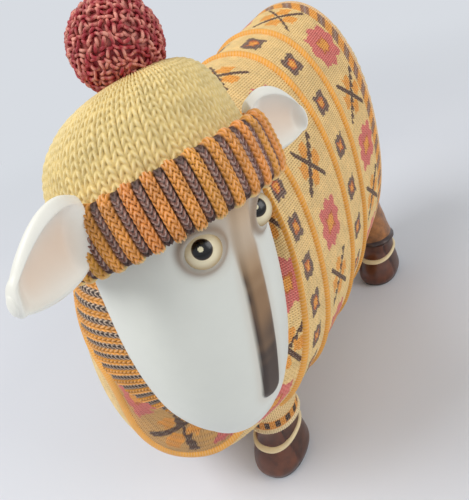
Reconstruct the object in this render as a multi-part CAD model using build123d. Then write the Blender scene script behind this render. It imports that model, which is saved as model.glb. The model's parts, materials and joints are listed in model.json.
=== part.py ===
from build123d import *
import os
from dataclasses import dataclass, replace
from math import cos, hypot, pi, radians, sin, sqrt

# A standing sheep figurine in a knitted sweater, bobble hat and boots, its head turned to its left.
# It looks along -Y from the rump to the chest, its own left is +X, and it stands on z = 0.

# Stance
foot_spacing = 110.0
track = 33.0

# Body in its sweater
barrel_width = 77.0
back_height = 137.0
body_exponent = 2.2
sweater_rib_count = 88
sweater_rib_depth = 0.5
cord_radius = 1.3
hem_wall = 1.8
hem_depth = 5.0
rump_length = 20.0

# Tail
tail_length = 24.0
tail_width = 11.0

# Turtleneck collar
collar_step = 1.2
collar_rib_depth = 0.9
collar_rib_count = 42

# Legs and boots
boot_length = 24.0
boot_width = 17.5
boot_height = 19.0
piping_radius = 0.8
leg_length = 34.0
sleeve_width = 16.6
sleeve_length = 18.6
stocking_width = 16.0
stocking_length = 18.0

# Head
head_side = 31.4
head_reach = 76.0
head_height = 120.3
head_turn = 82.7
head_lean = 4.0
face_width = 40.0
face_length = 65.0
face_depth = 41.0
face_exponent = 2.3
bridge_width = 5.2
bridge_rise = 1.1
bridge_length = 52.0
eye_radius = 3.9
eye_spacing = 17.6
eye_drop = 6.2
eye_proud = 2.5

# Ears
ear_length = 14.4
ear_width = 16.8
ear_thickness = 5.6
ear_droop = 5.3
ear_sweep = 10.5
ear_twist = 27.0
ear_height = 2.9
ear_ahead = 8.5

# Hat
hat_tilt = 17.5
cuff_radius = 27.2
cuff_height = 12.6
cuff_wall = 4.0
cuff_round = 2.6
cuff_rib_count = 38
cuff_rib_depth = 0.9
crown_rise = 16.5
crown_lean = 9.5
crown_rib_count = 59
crown_rib_depth = 0.8
pompom_radius = 10.1
pompom_tuft_radius = 2.7
pompom_tuft_count = 40

# Pins and fits
leg_pin_radius = 1.5
neck_pin_radius = 3.0
hat_peg_radius = 2.5
pompom_peg_radius = 1.5
pin_clearance = 0.1
seat_clearance = 0.1
overrun = 1.0

half = 1 / 2

# Points of a smooth outline, and steps that measure round one
outline_steps = 16
girth_steps = 720


@dataclass(frozen=True)
class Station:
    """One cross section of the body, as shares of the body's sizes and angles in degrees."""

    side_share: float
    place_share: float
    centre_share: float
    width_share: float
    rise_share: float
    drop_share: float
    turn: float
    tilt: float

    def plane(self, shift=0.0):
        """Return the section's plane: X to the sheep's left, Y up, Z forwards out of the chest."""
        turn, tilt = radians(self.turn), radians(self.tilt)
        left = Vector(cos(turn), sin(turn), 0)
        ahead = Vector(sin(turn) * cos(tilt), -cos(turn) * cos(tilt), sin(tilt))
        centre = Vector(
            self.side_share * barrel_width,
            self.place_share * foot_spacing,
            self.centre_share * back_height,
        )
        return Plane(origin=centre + ahead * shift, x_dir=left, z_dir=ahead)

    def point(self, angle, grow):
        """Return the flat point of the outline at an angle, grown outwards as asked."""
        across, up = superellipse(angle, body_exponent)
        height = self.rise_share if up > 0 else self.drop_share
        return (across * (self.width_share * barrel_width * half + grow), up * (height * back_height + grow))

    def wire(self, grow=0.0, shift=0.0):
        """Return the smooth closed outline, grown outwards and moved forwards as asked."""
        points = [self.point(2 * pi * step / outline_steps, grow) for step in range(outline_steps)]
        return closed_wire(points, self.plane(shift))

    def ribbed_wire(self, ribs, depth, grow=0.0, shift=0.0):
        """Return the outline with evenly spaced ribs, each a crest and a hollow."""
        plane = self.plane(shift)
        places = []
        for number, angle in enumerate(self.even_angles(ribs * 2, grow)):
            across, up = self.point(angle, grow)
            inset = depth if number % 2 else 0.0
            size = 1 - inset / hypot(across, up)
            places.append(plane.from_local_coords(Vector(across * size, up * size, 0)))
        return Wire.make_polygon(places, close=True)

    def even_angles(self, count, grow):
        """Return the angles of evenly spaced points of the outline, from the middle of the belly."""
        angles = [2 * pi * step / girth_steps - pi * half for step in range(girth_steps + 1)]
        points = [self.point(angle, grow) for angle in angles]
        lengths = [0.0]
        for last, point in zip(points, points[1:]):
            lengths.append(lengths[-1] + hypot(point[0] - last[0], point[1] - last[1]))
        found = []
        place = 0
        for number in range(count):
            goal = lengths[-1] * number / count
            while lengths[place + 1] < goal:
                place += 1
            part = (goal - lengths[place]) / (lengths[place + 1] - lengths[place])
            found.append(angles[place] + part * (angles[place + 1] - angles[place]))
        return found


# Body sections from the hem at the rear to the turned neck
hem = Station(0, 0.445, 0.564, 0.792, 0.410, 0.404, 0, 2)
ring_rear = Station(0, 0.181, 0.521, 0.829, 0.427, 0.412, 0, 3)
ring_middle = Station(0, 0.011, 0.499, 0.868, 0.434, 0.404, 0, 4)
ring_shoulder = Station(0, -0.263, 0.502, 0.940, 0.415, 0.395, 0, 4)
ring_front = Station(0, -0.432, 0.523, 1.000, 0.390, 0.380, 0, 10)
breast = Station(-0.005, -0.490, 0.543, 0.969, 0.352, 0.387, 5, 18)
chest = Station(0, -0.545, 0.562, 0.896, 0.307, 0.380, 12, 26)
throat = Station(0.028, -0.584, 0.567, 0.796, 0.278, 0.351, 19, 28)
ring_chest = Station(0.065, -0.618, 0.574, 0.690, 0.248, 0.312, 26, 28)
collar_base = Station(0.130, -0.655, 0.599, 0.584, 0.197, 0.248, 38, 24)
collar_middle = Station(0.225, -0.676, 0.632, 0.520, 0.160, 0.222, 54, 16)
collar_end = Station(0.338, -0.682, 0.657, 0.455, 0.130, 0.190, 72, 8)

# Section of a raised cord, as shares of its radius: place along the body and height
cord_shares = ((-0.5, 0.87), (0.5, 0.87))

# Rump dome: how far back, and how wide and high it still is
rump_shares = ((0.0, 1.0), (0.30, 0.955), (0.58, 0.83), (0.80, 0.63), (0.94, 0.38), (1.0, 0.16))

# Boot sections from the sole up: height, width, length and shift to the heel
boot_shares = (
    (0.0, 0.90, 0.91, 0.0),
    (0.13, 1.0, 1.0, 0.0),
    (0.36, 0.98, 0.96, 0.01),
    (0.58, 0.90, 0.82, 0.05),
    (0.76, 0.84, 0.70, 0.09),
    (1.0, 0.84, 0.68, 0.10),
)

boot_toe_share = 0.16
ankle_piping_share = 0.74

# Leg sections from the boot up to the rounded top in the body: share of the length and of the section
leg_shares = ((0.0, 1.0), (0.35, 1.04), (0.70, 1.10), (0.92, 0.95), (1.0, 0.62))

# How far a leg's top leans: the front legs back, the rear legs forwards and towards each other
front_lean_share = 0.03
rear_lean_share = 0.075
rear_inward_share = 0.12

# Face sections below the cuff: drop, half width, front and back depth
face_shares = (
    (-0.14, 0.80, 0.50, 0.30),
    (0.0, 0.88, 0.52, 0.42),
    (0.16, 0.94, 0.495, 0.51),
    (0.33, 0.99, 0.48, 0.475),
    (0.49, 1.0, 0.455, 0.435),
    (0.655, 0.95, 0.415, 0.37),
    (0.79, 0.83, 0.365, 0.31),
    (0.90, 0.61, 0.295, 0.245),
    (0.965, 0.38, 0.19, 0.17),
    (1.0, 0.14, 0.07, 0.07),
)

# Nose bridge sections: share of its length, of its width and of its rise
bridge_shares = (
    (0.0, 0.80, 0.7),
    (0.2, 0.84, 1.0),
    (0.5, 0.94, 1.0),
    (0.8, 1.0, 1.0),
    (0.93, 0.86, 0.9),
    (1.0, 0.40, 0.4),
)

# Ear sections from the root out: share of length, width and thickness
ear_shares = ((0.0, 0.74, 0.80), (0.22, 0.96, 0.95), (0.45, 1.0, 1.0), (0.68, 0.88, 0.90),
              (0.87, 0.60, 0.70), (0.97, 0.30, 0.45), (1.0, 0.10, 0.20))
ear_bowl_place_share = 0.62
ear_bowl_depth_share = 0.85
ear_bowl_shares = ((0.10, 0.46), (0.30, 0.66), (0.50, 0.72), (0.70, 0.60), (0.86, 0.34), (0.93, 0.12))

# Crown sections above the cuff: share of the rise, radius and lean
crown_shares = ((0.0, 0.86, 0.0), (0.28, 0.875, 0.08), (0.54, 0.82, 0.25), (0.66, 0.76, 0.36),
                (0.76, 0.69, 0.50), (0.85, 0.60, 0.63), (0.92, 0.48, 0.78), (0.97, 0.35, 0.90),
                (1.0, 0.22, 1.0))

# Each knitted repeat of the cuff: place in the repeat and depth, a wide rib and then a narrow lower one
cuff_rib_shares = ((0.0, 1.0), (0.12, 0.0), (0.52, 0.0), (0.64, 1.0), (0.82, 0.45))
cuff_rib_start_share = 0.41

# Rounded rims of the cuff: distance from the rim and how far the outline draws in
cuff_rim_shares = ((0.0, 1.0), (0.3, 0.3), (1.0, 0.0))

# Pompom and its peg, as shares of the pompom's radius and of the crown's lean
pompom_seat_share = 0.62
pompom_lean_share = 1.15
pompom_peg_share = 1.5

# How far down the face the neck pin ends
neck_pin_top_share = 0.42

# Tail sections from its root down: height, width, length and place behind the rump
tail_shares = ((0.0, 0.45, 0.50, 0.0), (0.22, 0.80, 0.90, 0.10), (0.55, 1.0, 1.0, 0.22),
               (0.85, 0.72, 0.70, 0.24), (1.0, 0.25, 0.25, 0.22))


def superellipse(angle, exponent):
    """Return a point of a unit superellipse at an angle."""
    across, up = cos(angle), sin(angle)
    power = 2 / exponent
    return (
        abs(across) ** power * (1 if across > 0 else -1),
        abs(up) ** power * (1 if up > 0 else -1),
    )


def closed_wire(points, plane):
    """Return a smooth closed wire through flat points, placed on a plane."""
    placed = [plane.from_local_coords(Vector(across, up, 0)) for across, up in points]
    return Wire([Edge.make_spline(placed, periodic=True)])


def oval_wire(width, length, plane, back=None, exponent=2.0):
    """Return an oval: half width across, length towards -Y of the plane and back towards +Y."""
    rear = length if back is None else back
    points = []
    for step in range(outline_steps):
        across, up = superellipse(2 * pi * step / outline_steps, exponent)
        points.append((across * width, up * (rear if up > 0 else length)))
    return closed_wire(points, plane)


def tube_along(wire, radius):
    """Return a round cord that follows a closed wire."""
    start = Plane(origin=wire @ 0, z_dir=wire % 0)
    return Solid.sweep(Face(Wire.make_circle(radius, start)), wire)


def rod(start, end, radius):
    """Return a round rod from one point to another."""
    line = end - start
    return Solid.make_cylinder(radius, line.length, Plane(origin=start, z_dir=line))


def face_frame():
    """Return the place of the head: upright, turned to the sheep's left and leaning a little."""
    return Location((head_side, -head_reach, head_height)) * Rot(Z=head_turn) * Rot(Y=head_lean)


def hat_frame():
    """Return the place of the hat, pushed back from the forehead."""
    return (
        Location((head_side, -head_reach, head_height))
        * Rot(Z=head_turn) * Rot(X=-hat_tilt) * Rot(Y=head_lean)
    )


def level(frame, height):
    """Return the plane at a height in a frame."""
    return Plane(frame * Pos(0, 0, height))


# Body


def rump_solid(inset):
    """Return the woolly rump, whose front end fits inside the hem."""
    wires = [hem.wire(-inset, hem_depth - seat_clearance)]
    for back_share, size_share in rump_shares:
        narrowed = replace(
            hem,
            width_share=hem.width_share * size_share,
            rise_share=hem.rise_share * size_share,
            drop_share=hem.drop_share * size_share,
        )
        grow = -inset * size_share
        wires.append(narrowed.wire(grow, -rump_length * back_share))
    return Solid.make_loft(wires)


def barrel_solid():
    """Return the barrel and chest, ribbed knitted panels between five raised cords."""
    wires = [knit_wire(hem)]
    for station in (ring_rear, ring_middle, ring_shoulder, ring_front):
        wires += cord_wires(station)
    wires += [knit_wire(station) for station in (breast, chest, throat)]
    wires += cord_wires(ring_chest)
    wires.append(knit_wire(collar_base))
    return Solid.make_loft(wires, ruled=True)


def knit_wire(station, shift=0.0):
    """Return the knitted outline of the sweater at a station, one rib for each pair of stitch columns."""
    return station.ribbed_wire(sweater_rib_count, sweater_rib_depth, 0, shift)


def cord_wires(station):
    """Return the outlines across one raised cord, from the panel behind it to the panel ahead."""
    raised = [
        station.ribbed_wire(sweater_rib_count, 0, cord_radius * rise, cord_radius * along)
        for along, rise in cord_shares
    ]
    return [knit_wire(station, -cord_radius)] + raised + [knit_wire(station, cord_radius)]


def hem_hollow():
    """Return the room inside the hem that takes the front of the rump."""
    return Solid.make_loft([hem.wire(-hem_wall, hem_depth), hem.wire(-hem_wall, -overrun)])


def make_tail():
    """Return the short tail that hangs from the rump."""
    root = hem.plane(-rump_length * rump_shares[2][0]).origin
    root = Vector(root.X, root.Y, back_height * (hem.centre_share + hem.rise_share * half))
    wires = []
    for down, width, length, behind in tail_shares:
        place = root + Vector(0, tail_length * behind + tail_width * half, -tail_length * down)
        wires.append(oval_wire(tail_width * width * half, tail_width * length * half, Plane(origin=place)))
    return Solid.make_loft(wires)


def make_collar():
    """Return the ribbed turtleneck from the neck of the sweater to the back of the head."""
    wires = [
        station.ribbed_wire(collar_rib_count, collar_rib_depth, collar_step)
        for station in (collar_base, collar_middle, collar_end)
    ]
    return Solid.make_loft(wires, ruled=True)


# Legs


def leg_places():
    """Return the name and the floor point of each leg."""
    return {
        "front_left": Vector(track * half, -foot_spacing * half, 0),
        "front_right": Vector(-track * half, -foot_spacing * half, 0),
        "rear_left": Vector(track * half, foot_spacing * half, 0),
        "rear_right": Vector(-track * half, foot_spacing * half, 0),
    }


def boot_top_shift():
    """Return how far the ankle stands behind the middle of the boot."""
    return boot_length * boot_shares[-1][3]


def boot_form(place, grow):
    """Return the plain form of a boot, grown outwards as asked."""
    wires = []
    for height, width, length, shift in boot_shares:
        centre = place + Vector(0, boot_length * shift, boot_height * height)
        wires.append(
            oval_wire(
                boot_width * width * half + grow, boot_length * length * half + grow,
                Plane(origin=centre), exponent=face_exponent,
            )
        )
    return Solid.make_loft(wires)


def make_boot(place):
    """Return one boot with the raised piping round its ankle and over its toe."""
    grown = boot_form(place, piping_radius)
    wide = boot_length * 2
    thin = piping_radius * 2
    middle = boot_length * boot_toe_share
    toe = Solid.make_box(wide, thin, boot_height * ankle_piping_share,
                         Plane(origin=place - Vector(wide * half, middle, 0)))
    ankle = Solid.make_box(wide, wide, thin,
                           Plane(origin=place + Vector(-wide * half, -wide * half,
                                                       boot_height * ankle_piping_share)))
    return boot_form(place, 0).fuse(grown & toe, grown & ankle)


def make_leg(place, width, length, front):
    """Return one leg from the boot top up into the body, with the rolled edge at its foot."""
    foot = place + Vector(0, boot_top_shift(), boot_height)
    lean = foot_spacing * (front_lean_share if front else -rear_lean_share)
    inward = 0 if front else -place.X * rear_inward_share * 2
    wires = []
    for share, spread in leg_shares:
        centre = foot + Vector(inward * share, lean * share, leg_length * share)
        wires.append(oval_wire(width * spread * half, length * spread * half, Plane(origin=centre)))
    leg = Solid.make_loft(wires)
    edge = oval_wire(width * half, length * half, Plane(origin=foot + Vector(0, 0, piping_radius)))
    return leg.fuse(tube_along(edge, piping_radius))


def leg_pin(place, radius):
    """Return the pin of one leg from inside the boot to inside the body."""
    foot = place + Vector(0, boot_top_shift(), boot_height * half)
    return rod(foot, foot + Vector(0, 0, boot_height * half + leg_length), radius)


# Head


def face_form(grow):
    """Return the plain form of the face, grown outwards as asked."""
    wires = []
    for drop, width, front, back in face_shares:
        plane = level(face_frame(), -face_length * drop)
        wires.append(
            oval_wire(
                face_width * width * half + grow, face_depth * front + grow, plane,
                face_depth * back + grow, face_exponent,
            )
        )
    return Solid.make_loft(wires)


def front_depth(drop):
    """Return how far the face reaches forwards at a drop below the cuff."""
    rows = face_shares
    for upper, lower in zip(rows, rows[1:]):
        if upper[0] <= drop <= lower[0]:
            part = (drop - upper[0]) / (lower[0] - upper[0])
            return face_depth * (upper[2] + (lower[2] - upper[2]) * part)
    return face_depth * rows[-1][2]


def eye_centre(side):
    """Return the middle of one eye, -1 for the right and 1 for the left."""
    across = eye_spacing * half / (face_width * face_shares[2][1] * half)
    surface = front_depth(eye_drop / face_length) * (1 - across**face_exponent) ** (1 / face_exponent)
    inner = Pos(side * eye_spacing * half, eye_radius - eye_proud - surface, -eye_drop)
    return (face_frame() * inner).position


def make_head():
    """Return the face with its raised nose bridge, open eye sockets and flat top under the hat."""
    face = face_form(0)
    wires = []
    for along, width, rise in bridge_shares:
        drop = along * bridge_length / face_length
        depth = front_depth(drop) - bridge_width * half + bridge_rise * rise
        plane = Plane(face_frame() * Pos(0, -depth, -face_length * drop))
        wires.append(oval_wire(bridge_width * width * half, bridge_width * half, plane))
    head = face.fuse(Solid.make_loft(wires))
    for side in (-1, 1):
        head = head - eye_ball(side, eye_radius + seat_clearance)
    return head - Solid.make_cylinder(cuff_radius * 2, face_length, level(hat_frame(), 0))


def eye_ball(side, radius):
    """Return a ball at one eye, its pole pointing ahead."""
    ahead = (face_frame() * Pos(0, -1, 0)).position - face_frame().position
    return Solid.make_sphere(radius, Plane(origin=eye_centre(side), z_dir=ahead))


def ear_frame(side):
    """Return the place of one ear root in the hat, its X pointing out along the ear."""
    turn = ear_sweep if side < 0 else -ear_sweep
    facing = Rot(Z=180) if side < 0 else Rot(Z=0)
    root = side * (cuff_radius - cuff_wall + seat_clearance * 2)
    return hat_frame() * Pos(root, -ear_ahead, ear_height) * facing * Rot(Z=turn) * Rot(X=side * ear_twist)


def make_ear(side):
    """Return one ear: a drooping leaf with a hollow front."""
    frame = ear_frame(side)
    ahead = 1 if side < 0 else -1
    wires = []
    for along, width, thick in ear_shares:
        plane = ear_plane(frame, along, 0)
        wires.append(oval_wire(ear_thickness * thick * half, ear_width * width * half, plane))
    leaf = Solid.make_loft(wires)
    bowls = []
    for along, width in ear_bowl_shares:
        plane = ear_plane(frame, along, ahead * ear_thickness * ear_bowl_place_share)
        depth = ear_thickness * width * ear_bowl_depth_share
        bowls.append(oval_wire(depth, ear_width * width * half, plane))
    return leaf - Solid.make_loft(bowls)


def ear_plane(frame, along, offset):
    """Return the cross plane of an ear at a share of its length, X across its thickness."""
    reach = ear_length * along + cuff_wall * (1 if along > 0 else 0)
    fall = -ear_droop * along * along
    place = frame * Pos(reach, offset, fall)
    across = (frame * Pos(reach, offset + overrun, fall)).position - place.position
    out = (frame * Pos(reach + overrun, offset, fall)).position - place.position
    return Plane(origin=place.position, x_dir=across, z_dir=out)


# Hat


def make_cuff():
    """Return the folded cuff, knitted in wide and narrow ribs, open inside for the head and the crown."""
    low = [(-cuff_height * half + cuff_round * up, cuff_round * draw) for up, draw in cuff_rim_shares]
    high = [(-height, draw) for height, draw in reversed(low)]
    band = Solid.make_loft([cuff_wire(height, cuff_radius - draw) for height, draw in low + high], ruled=True)
    bore = Solid.make_cylinder(cuff_radius - cuff_wall, cuff_height, level(hat_frame(), 0))
    return band - bore


def cuff_wire(height, radius):
    """Return the ribbed outline of the cuff at a height, within a radius."""
    plane = level(hat_frame(), height)
    places = []
    for rib in range(cuff_rib_count):
        for along, depth in cuff_rib_shares:
            angle = 2 * pi * (rib + along + cuff_rib_start_share) / cuff_rib_count
            out = radius - cuff_rib_depth * depth
            places.append(plane.from_local_coords(Vector(out * cos(angle), out * sin(angle), 0)))
    return Wire.make_polygon(places, close=True)


def cuff_room():
    """Return the room that the cuff takes, with its clearance."""
    return Solid.make_cylinder(cuff_radius + seat_clearance, cuff_height,
                               level(hat_frame(), -cuff_height * half - seat_clearance))


def make_crown():
    """Return the domed crown, which leans back and plugs into the cuff."""
    plug = Solid.make_cylinder(cuff_radius - cuff_wall - seat_clearance, cuff_height * half,
                               level(hat_frame(), 0))
    wires = [crown_wire(*shares) for shares in crown_shares]
    return plug.fuse(Solid.make_loft(wires, ruled=True))


def crown_wire(up, radius, lean):
    """Return the outline of the crown at one level, a rib for each column of stitches."""
    plane = Plane(hat_frame() * Pos(0, -crown_lean * lean, cuff_height * half + crown_rise * up))
    places = []
    for number in range(crown_rib_count * 2):
        angle = pi * number / crown_rib_count
        out = (cuff_radius - crown_rib_depth * (number % 2)) * radius
        places.append(plane.from_local_coords(Vector(out * cos(angle), out * sin(angle), 0)))
    return Wire.make_polygon(places, close=True)


def pompom_frame():
    """Return the middle of the pompom."""
    height = cuff_height * half + crown_rise + pompom_radius * pompom_seat_share
    return hat_frame() * Pos(0, -crown_lean * pompom_lean_share, height)


def make_pompom():
    """Return the pompom ball with its tufts spread evenly over it."""
    middle = pompom_frame().position
    core = pompom_radius - pompom_tuft_radius * half
    ball = Solid.make_sphere(core, Plane(pompom_frame()))
    tufts = []
    golden = pi * (3 - sqrt(5))
    reach = pompom_radius - pompom_tuft_radius
    for index in range(pompom_tuft_count):
        up = 1 - 2 * (index + half) / pompom_tuft_count
        ring = sqrt(1 - up * up)
        place = pompom_frame() * Pos(Vector(ring * cos(golden * index), ring * sin(golden * index), up) * reach)
        out = place.position - middle
        tufts.append(Solid.make_sphere(pompom_tuft_radius, Plane(origin=place.position, z_dir=out)))
    return ball.fuse(*tufts)


# Pins


def neck_pin(radius):
    """Return the pin through the collar, from inside the chest to inside the head."""
    start = chest.plane().origin
    end = (face_frame() * Pos(0, 0, -face_length * neck_pin_top_share)).position
    return rod(start, end, radius)


def hat_peg(radius):
    """Return the peg that holds the hat on the head."""
    low = (hat_frame() * Pos(0, 0, -cuff_height)).position
    high = (hat_frame() * Pos(0, 0, cuff_height)).position
    return rod(low, high, radius)


def pompom_peg(radius):
    """Return the peg that holds the pompom on the crown."""
    high = pompom_frame().position
    low = (pompom_frame() * Pos(0, 0, -pompom_radius * pompom_peg_share)).position
    return rod(low, high, radius)


def largest(shape):
    """Return the largest solid of a cut piece, leaving out thin crumbs."""
    return max(shape.solids(), key=lambda solid: solid.volume)


def build():
    """Return every piece by its name."""
    barrel = barrel_solid()
    face_room = face_form(seat_clearance)
    sweater = barrel - hem_hollow() - face_room
    rump = rump_solid(hem_wall + seat_clearance)
    head = make_head()
    cuff = make_cuff()
    crown = make_crown()
    neck_bore = neck_pin(neck_pin_radius + pin_clearance)
    hat_bore = hat_peg(hat_peg_radius + pin_clearance)
    pompom_bore = pompom_peg(pompom_peg_radius + pin_clearance)

    pieces = {"tail": largest(make_tail() - rump)}
    for name, place in leg_places().items():
        bore = leg_pin(place, leg_pin_radius + pin_clearance)
        if name.startswith("front"):
            leg = make_leg(place, sleeve_width, sleeve_length, True)
            pieces["sleeve_" + name] = largest(leg - barrel - bore)
        else:
            leg = make_leg(place, stocking_width, stocking_length, False)
            pieces["leg_" + name] = largest(leg - barrel - rump - bore)
        pieces["boot_" + name] = make_boot(place) - bore
        pieces["leg_pin_" + name] = leg_pin(place, leg_pin_radius)
        sweater = sweater - bore
        rump = rump - bore

    for side, name in ((-1, "right"), (1, "left")):
        ear = make_ear(side)
        cuff = cuff - ear
        crown = crown - ear
        pieces["ear_" + name] = ear
        pieces["eye_" + name] = eye_ball(side, eye_radius)

    pieces["sweater_body"] = sweater - neck_bore
    pieces["fleece_rump"] = rump
    pieces["turtleneck_collar"] = largest(make_collar() - face_room - cuff_room() - neck_bore)
    pieces["head"] = head - neck_bore - hat_bore
    pieces["hat_cuff"] = largest(cuff - head)
    pieces["hat_crown"] = largest(crown - hat_bore - pompom_bore)
    pieces["pompom"] = largest(make_pompom() - crown - pompom_bore)
    pieces["neck_pin"] = neck_pin(neck_pin_radius)
    pieces["hat_peg"] = hat_peg(hat_peg_radius)
    pieces["pompom_peg"] = pompom_peg(pompom_peg_radius)
    return pieces


def main():
    """Build the pieces, set the origin at the middle of their footprint and write them."""
    pieces = build()
    box = Compound(children=[Compound(piece.solids()) for piece in pieces.values()]).bounding_box()
    middle = Vector((box.min.X + box.max.X) * half, (box.min.Y + box.max.Y) * half, box.min.Z)
    os.makedirs("parts", exist_ok=True)
    for name, piece in pieces.items():
        solids = piece.solids()
        shape = solids[0] if len(solids) == 1 else Compound(solids)
        export_step(shape.moved(Pos(-middle.X, -middle.Y, -middle.Z)), f"parts/{name}.step")
        print(name, len(solids), round(sum(solid.volume for solid in solids)))
    print("origin shift", round(middle.X, 3), round(middle.Y, 3), round(middle.Z, 3))
    print("box", box.size)


main()
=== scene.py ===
"""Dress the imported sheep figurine: knitted sweater, bobble hat, boots and painted face."""

import json
import logging
import math
from dataclasses import dataclass
from enum import Enum
from typing import Callable

import bmesh
import bpy
import numpy as np
from mathutils import Matrix, Vector

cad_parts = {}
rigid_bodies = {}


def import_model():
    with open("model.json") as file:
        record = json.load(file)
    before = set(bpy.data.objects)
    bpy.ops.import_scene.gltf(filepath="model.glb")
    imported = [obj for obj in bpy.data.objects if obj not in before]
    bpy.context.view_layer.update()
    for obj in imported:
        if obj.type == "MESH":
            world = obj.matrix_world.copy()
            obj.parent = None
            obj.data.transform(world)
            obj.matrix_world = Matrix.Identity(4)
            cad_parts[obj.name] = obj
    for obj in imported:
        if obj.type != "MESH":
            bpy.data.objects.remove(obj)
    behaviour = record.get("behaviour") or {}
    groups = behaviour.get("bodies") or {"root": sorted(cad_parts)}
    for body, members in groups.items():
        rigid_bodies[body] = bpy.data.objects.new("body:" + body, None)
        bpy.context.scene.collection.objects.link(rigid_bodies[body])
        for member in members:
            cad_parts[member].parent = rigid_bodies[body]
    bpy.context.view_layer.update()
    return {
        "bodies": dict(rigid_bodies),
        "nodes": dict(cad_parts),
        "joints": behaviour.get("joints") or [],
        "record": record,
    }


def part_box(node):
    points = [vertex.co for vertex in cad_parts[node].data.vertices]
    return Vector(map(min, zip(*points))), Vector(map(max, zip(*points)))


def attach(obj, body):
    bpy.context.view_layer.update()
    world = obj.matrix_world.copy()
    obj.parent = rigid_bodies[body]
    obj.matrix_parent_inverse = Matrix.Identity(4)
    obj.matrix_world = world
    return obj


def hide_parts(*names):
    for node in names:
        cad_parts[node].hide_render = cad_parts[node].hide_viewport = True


LOG = logging.getLogger("sheep")
MM = 0.001
# Shares of a grid below this are its first row
FIRST_ROW = 0.001
# Steps in which an outline's length is measured
OUTLINE_STEPS = 721
# Height share of a relief that lies on the plain surface
LEVEL = 0.6
# Random numbers that the stitches share, and how far apart neighbours read them
SHADE_TABLE = 4096
SHADE_STRIDES = (73, 151)
Points = np.ndarray
Placer = Callable[[Points, Points], Points]


# Colour and small maths


def linear(code: str) -> tuple[float, float, float, float]:
    """Turn an sRGB hex colour into linear light.

    Args:
        code: six hex digits, such as "e1be82".

    Returns:
        Red, green, blue and an alpha of one.
    """
    values = []
    for start in (0, 2, 4):
        share = int(code[start:start + 2], 16) / 255
        values.append(share / 12.92 if share <= 0.04045 else ((share + 0.055) / 1.055) ** 2.4)
    return (values[0], values[1], values[2], 1.0)


def paint(code: str) -> Points:
    """Return a hex colour as a row of four linear numbers."""
    return np.array(linear(code))


def smooth_step(low: float, high: float, values: Points) -> Points:
    """Return a soft step from 0 below low to 1 above high."""
    share = np.clip((values - low) / (high - low), 0.0, 1.0)
    return share * share * (3.0 - 2.0 * share)


def spline(knots: Points, rows: Points, at: Points) -> Points:
    """Read a smooth curve through rows of values.

    Args:
        knots: rising places of the rows.
        rows: one row of values per knot.
        at: places to read, within the knots or a little beyond.

    Returns:
        One row of values per place.
    """
    slopes = np.gradient(rows, knots, axis=0)
    index = np.clip(np.searchsorted(knots, at) - 1, 0, len(knots) - 2)
    width = (knots[index + 1] - knots[index])[:, None]
    share = (at - knots[index])[:, None] / width
    low, high = rows[index], rows[index + 1]
    start, end = slopes[index] * width, slopes[index + 1] * width
    cube, square = share**3, share**2
    return (
        (2 * cube - 3 * square + 1) * low + (cube - 2 * square + share) * start
        + (3 * square - 2 * cube) * high + (cube - square) * end
    )


def noise_table(count: int, seed: int) -> Points:
    """Return fixed random numbers between -1 and 1."""
    return np.random.default_rng(seed).uniform(-1.0, 1.0, count)


def superellipse(angle: Points, exponent: float) -> tuple[Points, Points]:
    """Return points of a unit superellipse at some angles.

    Args:
        angle: places round it, in radians.
        exponent: 2 gives a circle, and more a squarer shape.

    Returns:
        How far across and how far up, from -1 to 1.
    """
    across, up = np.cos(angle), np.sin(angle)
    power = 2 / exponent
    return np.sign(across) * np.abs(across) ** power, np.sign(up) * np.abs(up) ** power


def bell(distance: Points, width: float) -> Points:
    """Return 1 where there is no distance, fading to about a third one width away."""
    return np.exp(-((distance / width) ** 2))


def bell_round(u: Points, middle: float, width: float) -> Points:
    """Return a bell at one share of the way round, where 0 and 1 meet."""
    return bell((u - middle + 0.5) % 1.0 - 0.5, width)


def mix(low: Points, high: Points, share: Points) -> Points:
    """Blend two colours, or rows of colours.

    Args:
        low: the colour where the share is 0.
        high: the colour where the share is 1.
        share: one number per vertex.

    Returns:
        One colour per vertex.
    """
    column = share[:, None]
    return low * (1 - column) + high * column


def carry(points: Points, frame: Points) -> Points:
    """Carry points in mm out of a piece's own frame.

    Args:
        points: one point per row.
        frame: the frame as a four by four matrix, in mm.

    Returns:
        The points in the row frame, in metres.
    """
    return (points @ frame[:3, :3].T + frame[:3, 3]) * MM


# Materials


def add_node(tree: bpy.types.NodeTree, kind: str, settings: dict, links: dict) -> bpy.types.Node:
    """Add a shader node with its settings and links.

    Args:
        tree: the node tree of a material.
        kind: the node's type name.
        settings: attribute or input names and their values.
        links: input names or numbers and the output sockets that feed them.

    Returns:
        The new node.
    """
    node = tree.nodes.new(kind)
    for name, value in settings.items():
        if isinstance(name, str) and hasattr(node, name):
            setattr(node, name, value)
        else:
            node.inputs[name].default_value = value
    for name, source in links.items():
        tree.links.new(source, node.inputs[name])
    return node


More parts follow.
